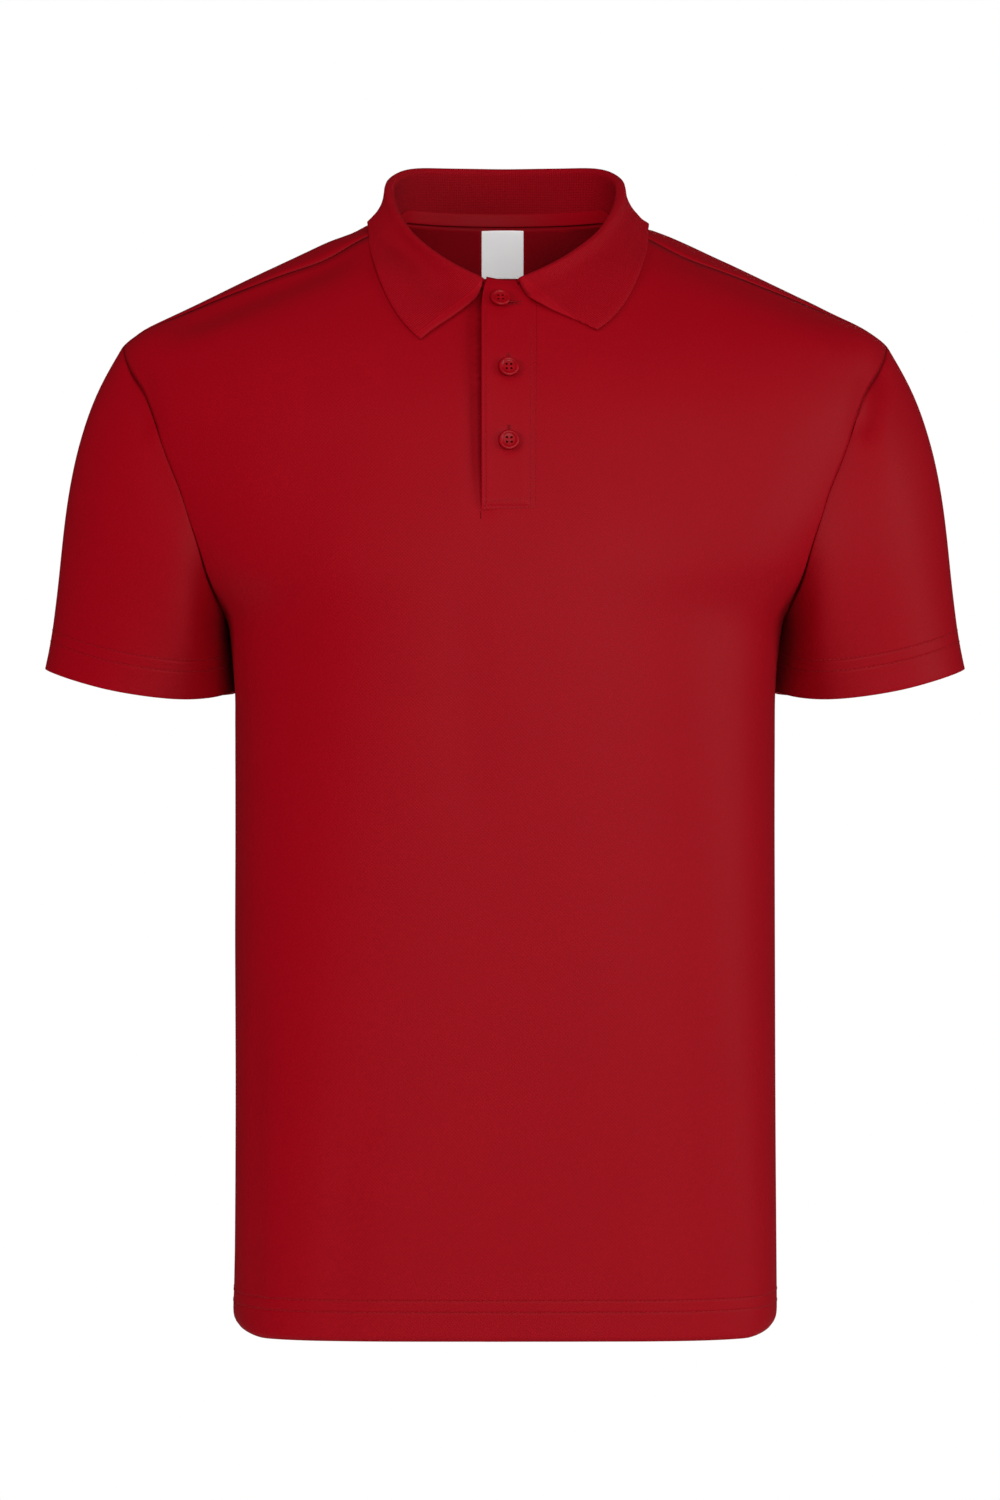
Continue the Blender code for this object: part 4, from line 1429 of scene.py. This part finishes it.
    def press_leaves(self, mesh: bpy.types.Mesh) -> None:
        """Presses the leaves' soft hollows straight back, and turns their side edges down.

        Args:
            mesh: the collar's mesh.
        """
        points = points_of(mesh)
        across = read(mesh.attributes["across_mm"].data, "value")
        away = read(mesh.attributes["edge_mm"].data, "value")
        front = np.tile((0.0, -1.0, 0.0), (len(points), 1))
        sink = sum(hollow.sink(points, front) for hollow in self.leaf_hollows)
        on_leaf = np.clip((across - self.leaf_from) / self.leaf_reach, 0, 1)
        points[:, 1] += sink * on_leaf * (points[:, 1] < 0)
        near = np.clip(1 - away / self.edge_reach, 0, 1) * (across > self.leaf_from)
        out = np.clip((np.abs(points[:, 0]) - self.side_x[0]) / self.side_x[1], 0, 1)
        side = out * np.clip((points[:, 2] - self.side_z[0]) / self.side_z[1], 0, 1)
        points[:, 2] -= self.edge_drop * near * side
        points[:, 0] -= np.sign(points[:, 0]) * self.edge_drop * 0.5 * near * side
        move_to(mesh, points)

    def mark_edge(self, mesh: bpy.types.Mesh) -> None:
        """Stores how far each point is from the leaf's edge and front ends.

        Args:
            mesh: the collar's mesh.
        """
        _, fold, leaf = self.ribs()
        ends = [fold[0] + (leaf[0] - fold[0]) * share for share in np.linspace(0, 1, 120)]
        flips = [np.array((flip, 1.0, 1.0)) for flip in (-1.0, 1.0)]
        rims = [Vector(point * flip) * MM for point in [*ends, *leaf] for flip in flips]
        store(mesh, "edge_mm", distances(mesh, rims))


@dataclass
class Placket(Assembly):
    """The two bands with their stitching and buttonholes.

    Rows and boxes are seen from the front. The sewn side, right of `press_x`, and the foot, under
    `press_z`, are pressed flat: the outer wall by `press` and the inner one by `tuck`.
    """

    free_row: float = -12.6
    sewn_rows: Spot = (16.4, 19.5)
    row_top: float = -56.0
    sewn_top: float = -72.0
    row_bottom: float = -192.0
    box_ends: Spot = (-12.6, 19.4)
    box_rows: tuple[Spot, ...] = ((-188.6, -185.8), (-193.0, -191.9))
    buttons: tuple[Spot, ...] = ((-3.3, -57.0), (2.2, -102.5), (2.5, -149.5))
    hole_up: float = 10.6
    level_half: float = 0.85
    upright_half: float = 0.6
    top_hole: tuple[float, float, float] = (1.0, 10.8, -57.6)
    slit_end: float = 7.8
    # a dark strip of painted shade in the crease under the band's foot: its two ends, seen from the
    # front
    pinch: tuple[Spot, Spot] = ((-15.9, -194.6), (-15.4, -199.6))
    press: float = 2.15
    tuck: float = 0.8
    press_x: float = 11.0
    press_z: float = -186.5
    edge_x: float = 20.4
    foot_z: float = -194.0
    dimple: float = 0.9
    dimple_radius: float = 7.6

    def build(self) -> list[bpy.types.Object]:
        """Makes the bands with their stitching and buttonholes.

        Returns:
            The pieces.
        """
        over = Sheet(
            "placket_over", self.finishes.band, (0.0365, 0.155), 0.0055,
            ("front", "placket_under"), levels=3, edge=lambda point: True,
        )
        under = Sheet("placket_under", self.finishes.plain, (0.0245, 0.145), 0.00345, ("front",))
        bands = [over.build(self.frame), under.build(self.frame)]
        self.thin_sewn_edges(bands[0].data)
        surface = Surface(bands[:1])
        sewing = [self.sew_rows(surface), *self.sew_buttonholes(surface)]
        over.declare(sewing)
        under.declare()
        return [*bands, *sewing]

    def thin_sewn_edges(self, mesh: bpy.types.Mesh) -> None:
        """Presses the band flat at its sewn side and its foot, and a little under each button.

        Args:
            mesh: the upper band's mesh.
        """
        points, normals = points_of(mesh), normals_of(mesh)
        side = np.clip((points[:, 0] - self.press_x) / (self.edge_x - self.press_x), 0, 1)
        foot = np.clip((self.press_z - points[:, 2]) / (self.press_z - self.foot_z), 0, 1)
        share = np.maximum(side, foot) ** 1.6
        # 1 on the outer wall and 0 on the inner one
        outer = np.clip(0.5 - 0.8 * normals[:, 1], 0, 1)
        points[:, 1] += (self.tuck + (self.press - self.tuck) * outer) * share
        for x, z in self.buttons:
            away = np.hypot(points[:, 0] - x, points[:, 2] - z)
            points[:, 1] += self.dimple * np.exp(-((away / self.dimple_radius) ** 4))
        move_to(mesh, points)

    def sew_rows(self, surface: Surface) -> bpy.types.Object:
        """Sews the rows along the band's edges and the box at its foot.

        Args:
            surface: the upper band.

        Returns:
            The stitching.
        """
        ends = [((self.free_row, self.row_top), (self.free_row, self.row_bottom))]
        ends += [((x, self.sewn_top), (x, self.row_bottom)) for x in self.sewn_rows]
        ends += [tuple(zip(self.box_ends, levels)) for levels in self.box_rows]
        lines = (surface.straight(*pair) for pair in ends)
        needle = Needle(length=1.9, gap=0.6, width=0.5, rise=0.36)
        return needle.stitching("placket_stitching", lines, self.finishes.thread)

    def sew_buttonholes(self, surface: Surface) -> list[bpy.types.Object]:
        """Sews the buttonholes: bars of close stitches on both sides of a slit, and strips of
        painted shadow.

        Args:
            surface: the upper band.

        Returns:
            The bars, and the strips of painted shadow.
        """
        bars, shadow_strips = bmesh.new(), bmesh.new()
        needle = Needle(length=1.15, gap=0.42, width=0.46, rise=0.5, sunk=0.1)
        slit_shadow = Needle(length=1.0, gap=0.0, width=0.55, rise=0.3, sunk=0.1)
        left, right, level = self.top_hole
        holes = [((left, level), (right, level), (0.0, self.level_half))]
        for x, z in self.buttons[1:]:
            holes.append(((x, z + self.hole_up), (x, z), (self.upright_half, 0.0)))
        for a, b, aside in holes:
            for sign in (-1, 1):
                ends = [(p[0] + sign * aside[0], p[1] + sign * aside[1]) for p in (a, b)]
                needle.sew(bars, surface.straight(*ends), crosswise=True)
        # Painted shadow: dark strips in the top buttonhole's slit and in the pinch under the band's
        # foot
        slit_shadow.sew(shadow_strips, surface.straight((left, level), (self.slit_end, level)))
        slit_shadow.sew(shadow_strips, Surface([bpy.data.objects["front_cloth"]]).straight(*self.pinch))
        pieces = (
            new_object("buttonholes", bars, self.finishes.thread),
            new_object("buttonhole_slits", shadow_strips, self.finishes.slit_shadow),
        )
        return [carry(piece) for piece in pieces]


@dataclass
class Buttons(Assembly):
    """The three turned four-hole buttons: outline as radius and height, and the holes.

    In each hole stands a dark peg of painted shadow, `shadow_gap` narrower than the hole, from
    `shadow_low` up to `shadow_high`.
    """

    outline: tuple[Spot, ...] = (
        (0.0, 1.75), (3.4, 1.75), (4.0, 1.85), (4.5, 2.2), (4.9, 2.5), (5.4, 2.6), (5.9, 2.52),
        (6.3, 2.25), (6.55, 1.8), (6.6, 1.3), (6.4, 0.6), (5.9, 0.15), (5.2, 0.0), (0.0, 0.0),
    )
    steps: int = 48
    edge_round: float = 0.12
    hole_radius: float = 0.8
    hole_spacing: float = 3.0
    shadow_gap: float = 0.08
    shadow_low: float = 0.15
    shadow_high: float = 0.7
    height: float = 2.6
    count: int = 3

    def pegs(self, radius: float, low: float, high: float, segments: int) -> bmesh.types.BMesh:
        """Four upright pegs at the holes.

        Args:
            radius: the pegs' radius in millimetres.
            low: their lower ends.
            high: their upper ends.
            segments: how many sides each has.

        Returns:
            The pegs, in metres round the button's own axis.
        """
        bm = bmesh.new()
        half = self.hole_spacing / 2
        for x, y in ((-1, -1), (-1, 1), (1, -1), (1, 1)):
            middle = Vector((x * half, y * half, (low + high) / 2)) * MM
            bmesh.ops.create_cone(
                bm, cap_ends=True, segments=segments, radius1=radius * MM, radius2=radius * MM,
                depth=(high - low) * MM, matrix=Matrix.Translation(middle),
            )
        return bm

    def turned(self) -> bpy.types.Mesh:
        """One button round its own axis, with its holes cut.

        Returns:
            Its mesh in metres.
        """
        bm = bmesh.new()
        verts = [bm.verts.new((radius * MM, 0.0, height * MM)) for radius, height in self.outline]
        edges = [bm.edges.new(pair) for pair in zip(verts, verts[1:])]
        bmesh.ops.spin(
            bm, geom=[*verts, *edges], cent=(0, 0, 0), axis=(0, 0, 1), angle=2 * math.pi,
            steps=self.steps, use_merge=True,
        )
        bmesh.ops.remove_doubles(bm, verts=bm.verts, dist=0.001 * MM)
        blank = new_object("button.blank", bm, bpy.data.materials.new("button.blank"))
        through = self.pegs(self.hole_radius, -1.0, 4.0, 20)
        drill = new_object("button.pegs", through, blank.active_material)
        cut = blank.modifiers.new("holes", "BOOLEAN")
        cut.object = drill
        soften = blank.modifiers.new("soft_edge", "BEVEL")
        soften.width = self.edge_round * MM
        soften.segments = 2
        soften.limit_method = "ANGLE"
        soften.angle_limit = RIM_ANGLE
        mesh = realised(blank)
        for helper in (blank, drill):
            bpy.data.objects.remove(helper)
        mesh.materials.clear()
        return mesh

    def build(self) -> list[bpy.types.Object]:
        """Makes the buttons where the CAD buttons are, and the shadow inside their holes.

        Returns:
            The pieces.
        """
        made = []
        mesh = self.turned()
        shadow = (self.hole_radius - self.shadow_gap, self.shadow_low, self.shadow_high, 12)
        for k in range(self.count):
            name = f"button_{k + 1}"
            solid = points_of(self.frame["nodes"][name].data)
            centre = (solid.min(axis=0) + solid.max(axis=0)) / 2
            axis = Vector(np.linalg.svd(solid - solid.mean(axis=0))[2][2])
            axis = axis if axis.y < 0 else -axis
            place = Matrix.Translation((Vector(centre) - axis * self.height / 2) * MM)
            place = place @ axis.to_track_quat("Z", "Y").to_matrix().to_4x4()
            disc = bmesh.new()
            disc.from_mesh(mesh)
            for part, label, finish in (
                (disc, name + "_turned", self.finishes.resin),
                # dark pegs of painted shadow inside the holes
                (self.pegs(*shadow), name + "_holes", self.finishes.slit_shadow),
            ):
                bmesh.ops.transform(part, matrix=place, verts=part.verts)
                made.append(carry(new_object(label, part, finish)))
            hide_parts(name)
        return made


@dataclass
class NeckTrim(Assembly):
    """The tape over the back neck seam and the bare label sewn under it.

    In front of `tuck_y`, over `tuck_reach`, the tape's ends go out by `tuck` and down by
    `tuck_down`.
    """

    tuck_y: float = 30.0
    tuck_reach: float = 26.0
    tuck: float = 1.2
    tuck_down: float = 14.0

    def build(self) -> list[bpy.types.Object]:
        """Makes the tape and the label.

        Returns:
            The pieces.
        """
        tape = Sheet(
            "neck_tape", self.finishes.plain, (0.25, 0.0102), 0.0021, ("collar",),
            levels=1, edge_round=0.3,
        )
        label = Sheet(
            "label", self.finishes.label, (0.0286, 0.036), 0.00103, ("back", "neck_tape"),
            Slot.LABEL, edge_round=0.25,
        )
        made = [tape.build(self.frame), label.build(self.frame)]
        self.tuck_ends(made[0].data)
        tape.declare()
        label.declare()
        return made

    def tuck_ends(self, mesh: bpy.types.Mesh) -> None:
        """Leads the tape's ends down and into the stand, behind the fold.

        Args:
            mesh: the tape's mesh.
        """
        points = points_of(mesh)
        way = points[:, :2] / np.linalg.norm(points[:, :2], axis=1, keepdims=True)
        share = np.clip((self.tuck_y - points[:, 1]) / self.tuck_reach, 0, 1)
        points[:, :2] += way * (self.tuck * share)[:, None]
        points[:, 2] -= self.tuck_down * share
        move_to(mesh, points)


# ---------------------------------------------------------------- the studio


@dataclass(frozen=True)
class Lamp:
    """A soft square light that faces the shirt: its place, side and power, and if it shines."""

    name: str
    place: tuple[float, float, float]
    side: float
    watts: float
    shines: bool = False
    target: tuple[float, float, float] = (0.0, 0.0, -350.0)

    def put_up(self) -> None:
        """Adds the light."""
        lamp = bpy.data.lights.new(self.name, "AREA")
        lamp.size = self.side * MM
        lamp.energy = self.watts
        made = linked(self.name, lamp)
        made.visible_glossy = self.shines
        made.location = Vector(self.place) * MM
        aim = Vector(self.target) * MM - made.location
        made.rotation_euler = aim.to_track_quat("-Z", "Y").to_euler()


@dataclass
class Studio:
    """The pale floor, soft lights and the camera."""

    eye: tuple[float, float, float] = (-3.3, -3100.0, -347.0)
    view_height: float = 997.5
    sensor: float = 36.0
    floor_z: float = -1050.0
    floor_radius: float = 1150.0
    sky: float = 0.08
    sky_shine: float = 0.02
    lamps: tuple[Lamp, ...] = (
        Lamp("key", (400.0, -2100.0, 0.0), 1000.0, 21.5, shines=True),
        Lamp("right", (2300.0, -1000.0, 100.0), 1400.0, 26.0, shines=True),
        Lamp("left", (-1700.0, -1050.0, 300.0), 900.0, 17.0),
        Lamp("behind", (700.0, 2500.0, 700.0), 1500.0, 34.0),
        Lamp("top", (0.0, -1500.0, 1900.0), 1400.0, 9.0),
    )

    def build(self) -> None:
        """Makes the studio."""
        scene = bpy.context.scene
        scene.view_settings.view_transform = "Standard"
        bm = bmesh.new()
        place = Matrix.Translation((0, 0, self.floor_z * MM))
        radius = self.floor_radius * MM
        bmesh.ops.create_circle(bm, cap_ends=True, segments=96, radius=radius, matrix=place)
        floor = new_object("studio_floor", bm, StudioWhite().material())
        for lamp in self.lamps:
            lamp.put_up()
        self.surround(scene)
        camera = bpy.data.cameras.new("camera")
        camera.sensor_fit = "VERTICAL"
        camera.sensor_height = self.sensor
        camera.lens = self.sensor * -self.eye[1] / self.view_height
        camera.clip_end = 50.0
        eye = linked("camera", camera)
        eye.location = Vector(self.eye) * MM
        eye.rotation_euler = (math.pi / 2, 0.0, 0.0)
        scene.camera = eye

    def surround(self, scene: bpy.types.Scene) -> None:
        """Puts up a white backdrop on every side that lights the shirt only weakly.

        Args:
            scene: the scene that it surrounds.
        """
        world = bpy.data.worlds.new("studio")
        world.use_nodes = True
        scene.world = world
        tree = world.node_tree
        background = tree.nodes["Background"]
        background.inputs["Color"].default_value = WHITE
        background.inputs["Strength"].default_value = self.sky
        path = tree.nodes.new("ShaderNodeLightPath")
        lit = background.outputs[0]
        for ray, strength in (("Is Glossy Ray", self.sky_shine), ("Is Camera Ray", 1.0)):
            seen = tree.nodes.new("ShaderNodeBackground")
            seen.inputs["Color"].default_value = WHITE
            seen.inputs["Strength"].default_value = strength
            mix = tree.nodes.new("ShaderNodeMixShader")
            for index, socket in enumerate((path.outputs[ray], lit, seen.outputs[0])):
                tree.links.new(socket, mix.inputs[index])
            lit = mix.outputs[0]
        tree.links.new(lit, tree.nodes["World Output"].inputs["Surface"])


def main() -> None:
    """Builds the shirt's looks round its frame."""
    logging.basicConfig(level=logging.INFO, format="%(message)s")
    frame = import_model()
    finishes = Finishes()
    Studio().build()
    for assembly in (Body, Sleeves, Collar, Placket, Buttons, NeckTrim):
        for piece in assembly(frame, finishes).build():
            log.info("%s: %d faces", piece.name, len(piece.data.polygons))


if __name__ == "__main__":
    main()
